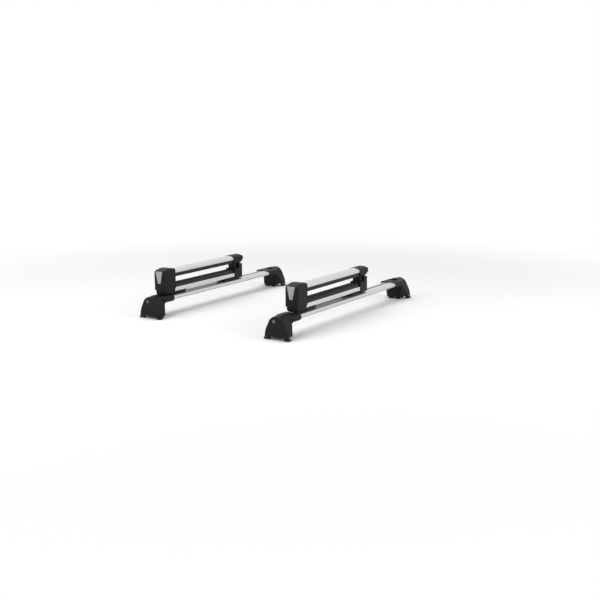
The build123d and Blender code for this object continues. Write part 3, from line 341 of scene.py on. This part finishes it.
# %% [markdown]
# The small metal parts differ by their coating: zinc is mottled by its crystals, black coated steel
# has a soft orange peel, and the lock faces are a fine satin. One function serves all three, with
# cells of another size for each.

# %% Small metals
CRYSTAL_SHADE = 0.85
PEEL_TO_CRYSTAL = 2.4


def make_metal(name, colour, roughness, metallic, cells, height, specular=0.5):
    """Coated steel whose colour and sheen change from crystal to crystal."""
    material, shader = new_material(name, colour, roughness, metallic, specular)
    crystals = add_pattern(material, cells, kind="ShaderNodeTexVoronoi", detail=0.0)
    vary_colour(material, shader, spread(material, crystals, 0.0, 1.0, 0.0, 1.0),
                dimmed(colour, CRYSTAL_SHADE), colour)
    vary_roughness(material, shader, crystals, roughness - 0.06, roughness + 0.08)
    add_bump(material, shader, add_pattern(material, PEEL_TO_CRYSTAL * cells), height)
    return material


zinc_steel = make_metal("zinc_steel", (0.60, 0.60, 0.62), roughness=0.36, metallic=1.0,
                        cells=450.0, height=0.00003)
black_steel = make_metal("black_steel", (0.012, 0.012, 0.012), roughness=0.46, metallic=0.0,
                         cells=300.0, height=0.00006, specular=0.2)
lock_metal = make_metal("lock_metal", (0.17, 0.17, 0.17), roughness=0.36, metallic=1.0,
                        cells=900.0, height=0.00001)
print("finishes", zinc_steel.name, black_steel.name, lock_metal.name)

# %% [markdown]
# Each measured part takes the finish of the real piece. The word that a part's name ends in tells
# which finish it has, so one short table serves both carriers and all four feet.

# %% Finish the measured parts
finish_of = {
    "crossbar": bar_aluminium, "arm": arm_aluminium, "strips": pad_rubber, "pad": pad_rubber,
    "pads": pad_rubber, "base": black_plastic, "cover": black_plastic, "mounts": black_plastic,
    "block": black_plastic, "housing": black_plastic, "cap": black_plastic, "button": button_grey,
    "jaw": black_steel, "pawl": zinc_steel, "pin": zinc_steel, "pins": zinc_steel, "bolt": zinc_steel,
    "bolts": zinc_steel, "springs": zinc_steel, "lock": lock_metal,
}
for node_name, node in frame["nodes"].items():
    finish = finish_of[node_name.split("_")[-1]]
    for material_slot in node.material_slots:
        material_slot.material = finish
print("finished", len(frame["nodes"]), "measured parts")

# %% [markdown]
# The moulded pieces are modelled by hand from here on. Small helpers stand in for the mouse: one adds
# a box between two corners, and three pick faces, edges or points by where they are and which way
# they look or run. Everything is put down before a piece is picked up, so that an operator never
# touches a neighbour.

# %% Helpers for picking
def start_box(name, low, high):
    """Adds a box between two corners and gives it its name."""
    bpy.ops.object.select_all(action="DESELECT")
    middle = [(a + b) / 2 for a, b in zip(low, high)]
    bpy.ops.mesh.primitive_cube_add(size=1, location=middle, scale=[b - a for a, b in zip(low, high)])
    piece = bpy.context.object
    piece.name = name
    bpy.ops.object.transform_apply(location=True, rotation=False, scale=True)
    return piece


def pick_faces(piece, test):
    """In edit mode, selects only the faces whose middle and normal pass the test."""
    bpy.ops.mesh.select_mode(type="FACE")
    bpy.ops.mesh.select_all(action="DESELECT")
    mesh = bmesh.from_edit_mesh(piece.data)
    for face in mesh.faces:
        face.select_set(test(face.calc_center_median(), face.normal))
    bmesh.update_edit_mesh(piece.data)


def pick_edges(piece, test):
    """In edit mode, selects only the edges whose middle and direction pass the test."""
    bpy.ops.mesh.select_mode(type="EDGE")
    bpy.ops.mesh.select_all(action="DESELECT")
    mesh = bmesh.from_edit_mesh(piece.data)
    for edge in mesh.edges:
        start, end = (vertex.co for vertex in edge.verts)
        edge.select_set(test((start + end) / 2, (end - start).normalized()))
    bmesh.update_edit_mesh(piece.data)


def pick_points(piece, test):
    """In edit mode, selects only the points whose place passes the test."""
    bpy.ops.mesh.select_mode(type="VERT")
    bpy.ops.mesh.select_all(action="DESELECT")
    mesh = bmesh.from_edit_mesh(piece.data)
    for point in mesh.verts:
        point.select_set(test(point.co))
    bmesh.update_edit_mesh(piece.data)


def near(value, target, reach=0.0004):
    """Says whether a coordinate is at a place, to a fraction of a millimetre."""
    return abs(value - target) < reach


print("pickers", pick_faces.__name__, pick_edges.__name__, pick_points.__name__)

# %% [markdown]
# The other helpers apply a modifier, cut one solid out of another, copy a piece with its own mesh, and
# finish a piece. A cutter always reaches a little past what it cuts, since a Boolean with two faces in
# one plane can fail. A finished piece is smoothed where its faces meet at a small angle and stays
# sharp elsewhere, and it is put on the body that carries it, in place of its measured part.

# %% Helpers for shaping and finishing
CUT_PAST = 0.01
SMOOTH_ANGLE = math.radians(32)


def apply_modifier(piece, kind, **settings):
    """Adds a modifier, sets it up and applies it to the mesh."""
    bpy.ops.object.select_all(action="DESELECT")
    piece.select_set(True)
    bpy.context.view_layer.objects.active = piece
    modifier = piece.modifiers.new(kind.lower(), kind)
    for setting, value in settings.items():
        setattr(modifier, setting, value)
    bpy.ops.object.modifier_apply(modifier=modifier.name)


def cut_away(piece, cutter):
    """Cuts one solid out of another and throws the cutter away."""
    apply_modifier(piece, "BOOLEAN", operation="DIFFERENCE", object=cutter, solver="EXACT")
    bpy.data.objects.remove(cutter)


def copy_piece(piece, name, change):
    """Copies a piece with its own mesh and moves the copy's mesh by a matrix."""
    twin = piece.copy()
    twin.data = piece.data.copy()
    twin.name = name
    bpy.context.scene.collection.objects.link(twin)
    twin.data.transform(change)
    return twin


def finish_piece(piece, material, body, slot, *nodes):
    """Smooths a piece, gives it its finish, and puts it on its body in place of its measured part."""
    bpy.ops.object.select_all(action="DESELECT")
    piece.select_set(True)
    bpy.context.view_layer.objects.active = piece
    bpy.ops.object.shade_smooth_by_angle(angle=SMOOTH_ANGLE)
    piece.data.materials.clear()
    piece.data.materials.append(material)
    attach(piece, body)
    if nodes:
        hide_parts(*nodes)


print("the rack carries", len(corners), "feet and", len(carriers), "ski carriers")

# %% [markdown]
# A foot's cover is a thin moulded shell with the outline of a tall dome: it flares a little at the
# bottom, has slanted sides and a round crest. One way is to draw the outline and extrude it. Here it
# grows from a block instead, because two bevels then make the round crest and the soft shoulders, and
# their radii can be changed by one number each.

# %% Foot cover, outer form
cover_low, cover_high = (Vector(corner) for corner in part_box("front_near_foot_cover"))
foot_middle = (cover_low.x + cover_high.x) / 2
SHOULDER_HALF = 0.054
SHOULDER_RISE = 0.026
CREST_HALF = 0.0251
CREST_BEVEL = 0.0250
SHOULDER_BEVEL = 0.0096
OUTLINE_WELD = 0.0006
shoulder_z = cover_low.z + SHOULDER_RISE
cover = start_box("front_near_cover_shell", (foot_middle - SHOULDER_HALF, cover_low.y, cover_low.z),
                  (foot_middle + SHOULDER_HALF, cover_high.y, shoulder_z))
bpy.ops.object.mode_set(mode="EDIT")
pick_faces(cover, lambda middle, normal: normal.z < -0.9)
flare = (cover_high.x - cover_low.x) / 2 / SHOULDER_HALF
bpy.ops.transform.resize(value=(flare, 1, 1))
pick_faces(cover, lambda middle, normal: normal.z > 0.9)
bpy.ops.mesh.extrude_region_move(TRANSFORM_OT_translate={"value": (0, 0, cover_high.z - shoulder_z)})
bpy.ops.transform.resize(value=(CREST_HALF / SHOULDER_HALF, 1, 1))
pick_edges(cover, lambda middle, along: abs(along.y) > 0.9 and near(middle.z, shoulder_z))
bpy.ops.mesh.bevel(offset=SHOULDER_BEVEL, segments=5, clamp_overlap=False)
pick_edges(cover, lambda middle, along: abs(along.y) > 0.9 and near(middle.z, cover_high.z))
bpy.ops.mesh.bevel(offset=CREST_BEVEL, segments=16, clamp_overlap=False)
bpy.ops.mesh.select_all(action="SELECT")
bpy.ops.mesh.remove_doubles(threshold=OUTLINE_WELD)
bpy.ops.object.mode_set(mode="OBJECT")
print("cover outline has", len(cover.data.vertices) // 2, "corners")

# %% [markdown]
# The outer edge of the cover is rounded all along the dome, and the face carries a shallow, plain
# panel where such covers usually bear a label. The face is drawn in once in its own plane and once
# more a step deeper, for the soft step beside the rounded edge. The back is then opened, and Solidify
# gives the shell its wall.

# %% Foot cover, edge and shell
COVER_EDGE = 0.0055
FACE_STEP = 0.0006
FACE_MARGIN, STEP_MARGIN = 0.93, 0.985
FACE_MIDDLE_Z = 0.045
COVER_WALL = 0.0017
PANEL_HALF, PANEL_SHIFT, PANEL_LOW, PANEL_HIGH = 0.026, -0.004, 0.027, 0.038
PANEL_DEPTH, PANEL_CORNER = 0.0007, 0.003
bpy.ops.object.mode_set(mode="EDIT")
pick_faces(cover, lambda middle, normal: normal.y < -0.9)
bpy.ops.mesh.region_to_loop()
bpy.ops.mesh.bevel(offset=COVER_EDGE, segments=6, clamp_overlap=False)
pick_faces(cover, lambda middle, normal: normal.y < -0.999)
face_middle = (foot_middle, cover_low.y, FACE_MIDDLE_Z)
bpy.ops.mesh.extrude_region_move(TRANSFORM_OT_translate={"value": (0, 0, 0)})
bpy.ops.transform.resize(value=(FACE_MARGIN, 1, FACE_MARGIN), center_override=face_middle)
bpy.ops.mesh.extrude_region_move(TRANSFORM_OT_translate={"value": (0, FACE_STEP, 0)})
bpy.ops.transform.resize(value=(STEP_MARGIN, 1, STEP_MARGIN), center_override=face_middle)
edge_end_y = cover_low.y + COVER_EDGE
pick_faces(cover, lambda middle, normal: normal.y > 0.9 or (normal.z < -0.99 and middle.y > edge_end_y))
bpy.ops.mesh.delete(type="FACE")
bpy.ops.object.mode_set(mode="OBJECT")
apply_modifier(cover, "SOLIDIFY", thickness=COVER_WALL, offset=-1.0)
panel_middle, panel_back = foot_middle + PANEL_SHIFT, cover_low.y + FACE_STEP + PANEL_DEPTH
panel_cut = start_box("panel_cut", (panel_middle - PANEL_HALF, cover_low.y - CUT_PAST, PANEL_LOW),
                      (panel_middle + PANEL_HALF, panel_back, PANEL_HIGH))
bpy.ops.object.mode_set(mode="EDIT")
pick_edges(panel_cut, lambda middle, along: abs(along.y) > 0.9)
bpy.ops.mesh.bevel(offset=PANEL_CORNER, segments=5)
bpy.ops.object.mode_set(mode="OBJECT")
cut_away(cover, panel_cut)
print("cover shell has", len(cover.data.polygons), "faces")

# %% [markdown]
# The lock sits in a round hole high on the cover. The low ends of the side walls and the lip under the
# face stop short, so that the cover can swing down on its hinge without meeting the foot behind it. All
# three cuts are Boolean ones, which keep the rest of the shell as it is.

# %% Foot cover, cuts
lock_place = next(Vector(joint["pos_m"]) for joint in frame["record"]["behaviour"]["joints"]
                  if joint["name"] == "front_near_cover_lock_turn")
LOCK_RADIUS = 0.0073
SWING_ROOM, SWING_TOP = 0.0035, 0.026
LIP_SIDE, LIP_DEPTH, LIP_HEIGHT = 0.004, 0.0034, 0.0024
bpy.ops.object.select_all(action="DESELECT")
bpy.ops.mesh.primitive_cylinder_add(vertices=48, radius=LOCK_RADIUS, depth=3 * CUT_PAST,
                                    location=(lock_place.x, cover_low.y, lock_place.z),
                                    rotation=(math.pi / 2, 0, 0))
lock_cut = bpy.context.object
cut_away(cover, lock_cut)
below, behind = cover_low.z - CUT_PAST, cover_high.y + CUT_PAST
swing_cut = start_box("swing_cut", (cover_low.x - CUT_PAST, cover_high.y - SWING_ROOM, below),
                      (cover_high.x + CUT_PAST, behind, SWING_TOP))
cut_away(cover, swing_cut)
lip_cut = start_box("lip_cut", (cover_low.x + LIP_SIDE, cover_low.y + LIP_DEPTH, below),
                    (cover_high.x - LIP_SIDE, behind, cover_low.z + LIP_HEIGHT))
cut_away(cover, lip_cut)
print("cover with its cuts has", len(cover.data.polygons), "faces")

# %% [markdown]
# The four covers are alike, so the other three are copies. Those on the far side are turned half a
# turn about the upright axis, to face away from the car as the near ones do.

# %% Foot cover, copies
covers = {"front_near": cover}
for corner in corners[1:]:
    low, high = (Vector(side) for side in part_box(f"{corner}_foot_cover"))
    turn = math.pi if corner.endswith("far") else 0.0
    place = Vector(((low.x + high.x) / 2, (low.y + high.y) / 2, 0))
    start = Vector((foot_middle, (cover_low.y + cover_high.y) / 2, 0))
    change = Matrix.Translation(place) @ Matrix.Rotation(turn, 4, "Z") @ Matrix.Translation(-start)
    covers[corner] = copy_piece(cover, f"{corner}_cover_shell", change)
for corner, piece in covers.items():
    finish_piece(piece, black_plastic, f"{corner}_cover", "black_plastic", f"{corner}_foot_cover")
print("covers", list(covers))

# %% [markdown]
# The latch housing is the tall box at each carrier's near end. Its top rises from the brow above the
# button to a low crown and falls back towards the arm, and its upright edges are generously rounded.
# The brow, the front corners and the long top edges of a box are bevelled in one go, so that they
# meet in a soft corner. The top is then bisected into rings, and each ring is lifted to the crown.

# %% Latch housing, outer form
shell_low, shell_high = (Vector(corner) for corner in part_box("front_latch_housing"))
SOFT_BEVEL = 0.0095
SOFT_REACH = SOFT_BEVEL + 0.0002
CROWN_LIFT = 0.0068
# each ring's distance behind the face, and how far it is lifted
CROWN = ((0.022, 0.0028), (0.034, 0.0056), (0.046, CROWN_LIFT), (0.058, 0.0057), (0.076, 0.0028))
brow_z = shell_high.z - CROWN_LIFT


def on_soft_edge(middle, along):
    """Says whether an edge of the box is on the brow, a front corner or the long top of a side."""
    if abs(along.z) > 0.9:
        return near(middle.y, shell_low.y)
    return near(middle.z, brow_z) and not near(middle.y, shell_high.y)


housing = start_box("front_latch_shell", shell_low, (shell_high.x, shell_high.y, brow_z))
bpy.ops.object.mode_set(mode="EDIT")
pick_edges(housing, on_soft_edge)
bpy.ops.mesh.bevel(offset=SOFT_BEVEL, segments=8)
for run, _ in CROWN[:-1]:
    bpy.ops.mesh.select_all(action="SELECT")
    bpy.ops.mesh.bisect(plane_co=(0, shell_low.y + run, 0), plane_no=(0, 1, 0))
for run, lift in CROWN:
    ring = shell_low.y + run
    pick_points(housing, lambda place: near(place.y, ring) and place.z > brow_z - SOFT_REACH)
    bpy.ops.transform.translate(value=(0, 0, lift))
bpy.ops.object.mode_set(mode="OBJECT")
print("housing form has", len(housing.data.polygons), "faces")

# %% [markdown]
# The housing is hollow and open below, so that it can close over the latch base. Its lower face is
# taken away, and Solidify then gives the rest a wall, which grows inwards and leaves the outside as it
# is.

# %% Latch housing, shell
HOUSING_WALL = 0.0028
bpy.ops.object.mode_set(mode="EDIT")
pick_faces(housing, lambda middle, normal: normal.z < -0.9)
bpy.ops.mesh.delete(type="FACE")
bpy.ops.object.mode_set(mode="OBJECT")
apply_modifier(housing, "SOLIDIFY", thickness=HOUSING_WALL, offset=-1.0)
print("housing shell has", len(housing.data.polygons), "faces")

# %% [markdown]
# The housing has a window for the button in its face and a slot at the back for the lower arm. The
# window is cut with a wedge, wide at the top, a little larger than the button. The same wedge will be
# the button itself, so it is made by a function. The rear housing is a copy of the front one.

# %% Latch housing, window and slot
WINDOW_GAP = 0.0005
WINDOW_TOP_HALF, WINDOW_BOTTOM_HALF = 0.0190, 0.0075
WEDGE_CORNER = 0.0025
BUTTON_RIM = 0.0012
ARM_GAP = 0.0015
ARM_SLOT_DEPTH = 0.006
button_low, button_high = (Vector(corner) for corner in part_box("front_push_button"))
lower_arm_low, lower_arm_high = (Vector(corner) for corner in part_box("front_lower_arm"))
button_bottom, button_top = button_low.z + BUTTON_RIM, button_high.z - BUTTON_RIM
carrier_middle = (shell_low.x + shell_high.x) / 2


def start_wedge(name, front, back, gap):
    """Adds the button's outline as a solid: a wedge that narrows towards the bottom."""
    wedge = start_box(name, (carrier_middle - WINDOW_TOP_HALF - gap, front, button_bottom - gap),
                      (carrier_middle + WINDOW_TOP_HALF + gap, back, button_top + gap))
    bpy.ops.object.mode_set(mode="EDIT")
    pick_faces(wedge, lambda middle, normal: normal.z < -0.9)
    bpy.ops.transform.resize(value=((WINDOW_BOTTOM_HALF + gap) / (WINDOW_TOP_HALF + gap), 1, 1))
    pick_edges(wedge, lambda middle, along: abs(along.y) > 0.9)
    bpy.ops.mesh.bevel(offset=WEDGE_CORNER, segments=5)
    bpy.ops.object.mode_set(mode="OBJECT")
    return wedge


window_cut = start_wedge("window_cut", shell_low.y - CUT_PAST, shell_low.y + 2 * CUT_PAST, WINDOW_GAP)
cut_away(housing, window_cut)
arm_cut = start_box(
    "arm_cut", (lower_arm_low.x - ARM_GAP, shell_high.y - ARM_SLOT_DEPTH, shell_low.z - CUT_PAST),
    (lower_arm_high.x + ARM_GAP, shell_high.y + CUT_PAST, lower_arm_high.z + ARM_GAP))
cut_away(housing, arm_cut)
carrier_shift = Matrix.Translation((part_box("rear_latch_housing")[0][0] - shell_low.x, 0, 0))
housings = {"front": housing, "rear": copy_piece(housing, "rear_latch_shell", carrier_shift)}
for carrier, piece in housings.items():
    finish_piece(piece, black_plastic, f"{carrier}_opening_arm", "black_plastic",
                 f"{carrier}_latch_housing")
print("housings", list(housings))

# %% [markdown]
# The push button is a wedge of grey plastic that stands just proud of its window. Its face is
# hollowed a little so that a thumb finds it: the rim is rounded with a bevel, and the face is then
# drawn in twice, each time a step deeper. A flat stem behind it reaches back into the housing.

# %% Push buttons
BUTTON_DEPTH = 0.0064
BUTTON_EDGE = 0.0009
THUMB_STEP = 0.00025
THUMB_RINGS = (0.86, 0.7)
STEM_OVERLAP = 0.0005
STEM_HALF, STEM_HEIGHT, STEM_RISE = 0.005, 0.003, 0.002
button_back = button_low.y + BUTTON_DEPTH
stem_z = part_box("front_upper_arm")[0][2] + STEM_RISE
button = start_wedge("front_button_face", button_low.y, button_back, 0.0)
bpy.ops.object.mode_set(mode="EDIT")
pick_faces(button, lambda middle, normal: normal.y < -0.9)
bpy.ops.mesh.region_to_loop()
bpy.ops.mesh.bevel(offset=BUTTON_EDGE, segments=4)
pick_faces(button, lambda middle, normal: normal.y < -0.999)
for shrink in THUMB_RINGS:
    bpy.ops.mesh.extrude_region_move(TRANSFORM_OT_translate={"value": (0, THUMB_STEP, 0)})
    bpy.ops.transform.resize(value=(shrink, 1, shrink))
bpy.ops.object.mode_set(mode="OBJECT")
start_box("button_stem", (carrier_middle - STEM_HALF, button_back - STEM_OVERLAP, stem_z - STEM_HEIGHT / 2),
          (carrier_middle + STEM_HALF, button_high.y, stem_z + STEM_HEIGHT / 2))
button.select_set(True)
bpy.context.view_layer.objects.active = button
bpy.ops.object.join()
buttons = {"front": button, "rear": copy_piece(button, "rear_button_face", carrier_shift)}
for carrier, piece in buttons.items():
    finish_piece(piece, button_grey, f"{carrier}_button", "button_grey", f"{carrier}_push_button")
print("buttons", list(buttons))

# %% [markdown]
# Two small coil springs push each button back out. Pressing the button shortens them. Each pair
# is a piece of its own, with its own mesh.

# %% Button springs
COIL_WELD = 0.000005
for carrier in carriers:
    measured = frame["nodes"][f"{carrier}_button_springs"]
    coils = bpy.data.objects.new(f"{carrier}_coils", measured.data.copy())
    bpy.context.scene.collection.objects.link(coils)
    bpy.ops.object.select_all(action="DESELECT")
    coils.select_set(True)
    bpy.context.view_layer.objects.active = coils
    bpy.ops.object.mode_set(mode="EDIT")
    bpy.ops.mesh.select_all(action="SELECT")
    bpy.ops.mesh.remove_doubles(threshold=COIL_WELD)
    bpy.ops.object.mode_set(mode="OBJECT")
    finish_piece(coils, zinc_steel, f"{carrier}_opening_arm", "zinc_steel", f"{carrier}_button_springs")
    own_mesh(coils)

# %% [markdown]
# The rubber pads hold the skis, so their faces are grooved along their length to let snow and water
# out. Each pad starts as a box. Its short edges are subdivided into strips, every other strip is
# pressed in as a groove, and a small bevel takes the sharpness off, as rubber never has a crisp edge.

# %% Rubber pads
RUBBER_EDGE = 0.0009
GROOVE_DEPTH = 0.0026


def make_ribbed(name, low, high, side, grooves, depth, along="y"):
    """Block of rubber with grooves along one axis in its upper or lower face."""
    pad = start_box(name, low, high)
    across = 0 if along == "y" else 1
    width = high[across] - low[across]
    strips = 2 * grooves + 1
    bpy.ops.object.mode_set(mode="EDIT")
    pick_edges(pad, lambda middle, run: abs(run[across]) > 0.9)
    bpy.ops.mesh.subdivide(number_cuts=strips - 1)
    pick_faces(pad, lambda middle, normal: normal.z * side > 0.9
               and int((middle[across] - low[across]) / width * strips) % 2 == 1)
    bpy.ops.mesh.extrude_region_move(TRANSFORM_OT_translate={"value": (0, 0, -side * depth)})
    bpy.ops.object.mode_set(mode="OBJECT")
    apply_modifier(pad, "BEVEL", width=min(RUBBER_EDGE, width / strips / 4), segments=3,
                   limit_method="ANGLE", angle_limit=math.radians(40))
    return pad


for carrier in carriers:
    arm_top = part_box(f"{carrier}_lower_arm")[1][2]
    low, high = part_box(f"{carrier}_lower_pad")
    pad = make_ribbed(f"{carrier}_lower_rubber", (low[0], low[1], arm_top), high, 1, 4, GROOVE_DEPTH)
    finish_piece(pad, pad_rubber, "rack_frame", "pad_rubber", f"{carrier}_lower_pad")
    arm_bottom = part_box(f"{carrier}_upper_arm")[0][2]
    low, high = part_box(f"{carrier}_upper_pad")
    pad = make_ribbed(f"{carrier}_upper_rubber", low, (high[0], high[1], arm_bottom), -1, 4, GROOVE_DEPTH)
    finish_piece(pad, pad_rubber, f"{carrier}_opening_arm", "pad_rubber", f"{carrier}_upper_pad")
    print(pad.name, len(pad.data.polygons), "faces")

# %% [markdown]
# The same block of grooved rubber serves twice more. Under each foot it is the seat on the car's rail,
# grooved along the rail, and in the bars' slots it is the long strip that keeps the wind from
# whistling. A measured part holds several of these in one, so each is found by going from point to
# point along its edges. The boxes are then sorted by place, so that every run names them alike.

# %% Rail pads and slot strips
SOLID_WELD = 0.000001
RAIL_GROOVE, STRIP_GROOVE = 0.0012, 0.0005
STRIP_MOUTH_HALF = 0.0053
STRIP_HEIGHT = 0.0028


def island_boxes(node_name):
    """Gives the box of every separate solid inside one measured part."""
    mesh = bmesh.new()
    mesh.from_mesh(frame["nodes"][node_name].data)
    bmesh.ops.remove_doubles(mesh, verts=mesh.verts, dist=SOLID_WELD)
    boxes, left = [], set(mesh.verts)
    while left:
        group, waiting = set(), [left.pop()]
        while waiting:
            vertex = waiting.pop()
            group.add(vertex)
            for edge in vertex.link_edges:
                other = edge.other_vert(vertex)
                if other in left:
                    left.discard(other)
                    waiting.append(other)
        places = [vertex.co for vertex in group]
        boxes.append((Vector([min(place[i] for place in places) for i in range(3)]),
                      Vector([max(place[i] for place in places) for i in range(3)])))
    mesh.free()
    return sorted(boxes, key=lambda box: [round(value, 4) for value in box[0]])


pads = [make_ribbed(f"rail_rubber_{index}", low, high, -1, 3, RAIL_GROOVE, along="x")
        for index, (low, high) in enumerate(island_boxes("rail_pads"))]
for index, (low, high) in enumerate(island_boxes("slot_strips")):
    slot_middle = (low.x + high.x) / 2
    low = (slot_middle - STRIP_MOUTH_HALF, low.y, high.z - STRIP_HEIGHT)
    high = (slot_middle + STRIP_MOUTH_HALF, high.y, high.z)
    pads.append(make_ribbed(f"slot_rubber_{index}", low, high, 1, 2, STRIP_GROOVE))
for pad in pads:
    finish_piece(pad, pad_rubber, "rack_frame", "pad_rubber")
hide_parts("rail_pads")
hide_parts("slot_strips")
print("rail pads and strips", len(pads))

# %% [markdown]
# The latch base closes the lower arm's end under the housing. Its lower corners are strongly rounded,
# which makes the foot of the latch look light, so a block is bevelled there with a wide radius.

# %% Latch base
base_low, base_high = (Vector(corner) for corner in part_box("front_latch_base"))
BASE_GAP = 0.0004
BASE_CORNER, BASE_NOSE = 0.012, 0.0075
base_top = shell_low.z - BASE_GAP
base = start_box("front_base_shell", base_low, (base_high.x, base_high.y, base_top))
bpy.ops.object.mode_set(mode="EDIT")
pick_edges(base, lambda middle, along: near(middle.z, base_low.z) and abs(along.y) > 0.9)
bpy.ops.mesh.bevel(offset=BASE_CORNER, segments=7)
pick_edges(base, lambda middle, along: near(middle.y, base_low.y) and not near(middle.z, base_top))
bpy.ops.mesh.bevel(offset=BASE_NOSE, segments=6)
bpy.ops.object.mode_set(mode="OBJECT")
print("latch base has", len(base.data.polygons), "faces")

# %% [markdown]
# The striker that the pawl hooks on stands on the base, hidden while the latch is shut. It is an
# upright plate whose top is extruded up once and then forward, to make the nose that the pawl holds.

# %% Striker and copies
STRIKER_HALF, STRIKER_FRONT, STRIKER_THICK = 0.009, 0.022, 0.004
STRIKER_SEAT, STRIKER_EDGE = 0.002, 0.0012
NOSE_REACH, NOSE_HEIGHT = 0.005, 0.006
striker_y = shell_low.y + STRIKER_FRONT
striker = start_box("front_striker", (carrier_middle - STRIKER_HALF, striker_y, base_top - STRIKER_SEAT),
                    (carrier_middle + STRIKER_HALF, striker_y + STRIKER_THICK, base_high.z - NOSE_HEIGHT))
bpy.ops.object.mode_set(mode="EDIT")
pick_faces(striker, lambda middle, normal: normal.z > 0.9)
bpy.ops.mesh.extrude_region_move(TRANSFORM_OT_translate={"value": (0, 0, NOSE_HEIGHT)})
pick_faces(striker, lambda middle, normal: normal.y < -0.9 and middle.z > base_high.z - NOSE_HEIGHT)
bpy.ops.mesh.extrude_region_move(TRANSFORM_OT_translate={"value": (0, -NOSE_REACH, 0)})
pick_edges(striker, lambda middle, along: abs(along.x) > 0.9 and near(middle.y, striker_y - NOSE_REACH))
bpy.ops.mesh.bevel(offset=STRIKER_EDGE, segments=3)
bpy.ops.object.mode_set(mode="OBJECT")
for carrier in carriers:
    base_piece, hook = base, striker
    if carrier == "rear":
        base_piece = copy_piece(base, "rear_base_shell", carrier_shift)
        hook = copy_piece(striker, "rear_striker", carrier_shift)
    finish_piece(base_piece, black_plastic, "rack_frame", "black_plastic", f"{carrier}_latch_base")
    finish_piece(hook, black_plastic, "rack_frame", "black_plastic")
print("latch bases", len(carriers))
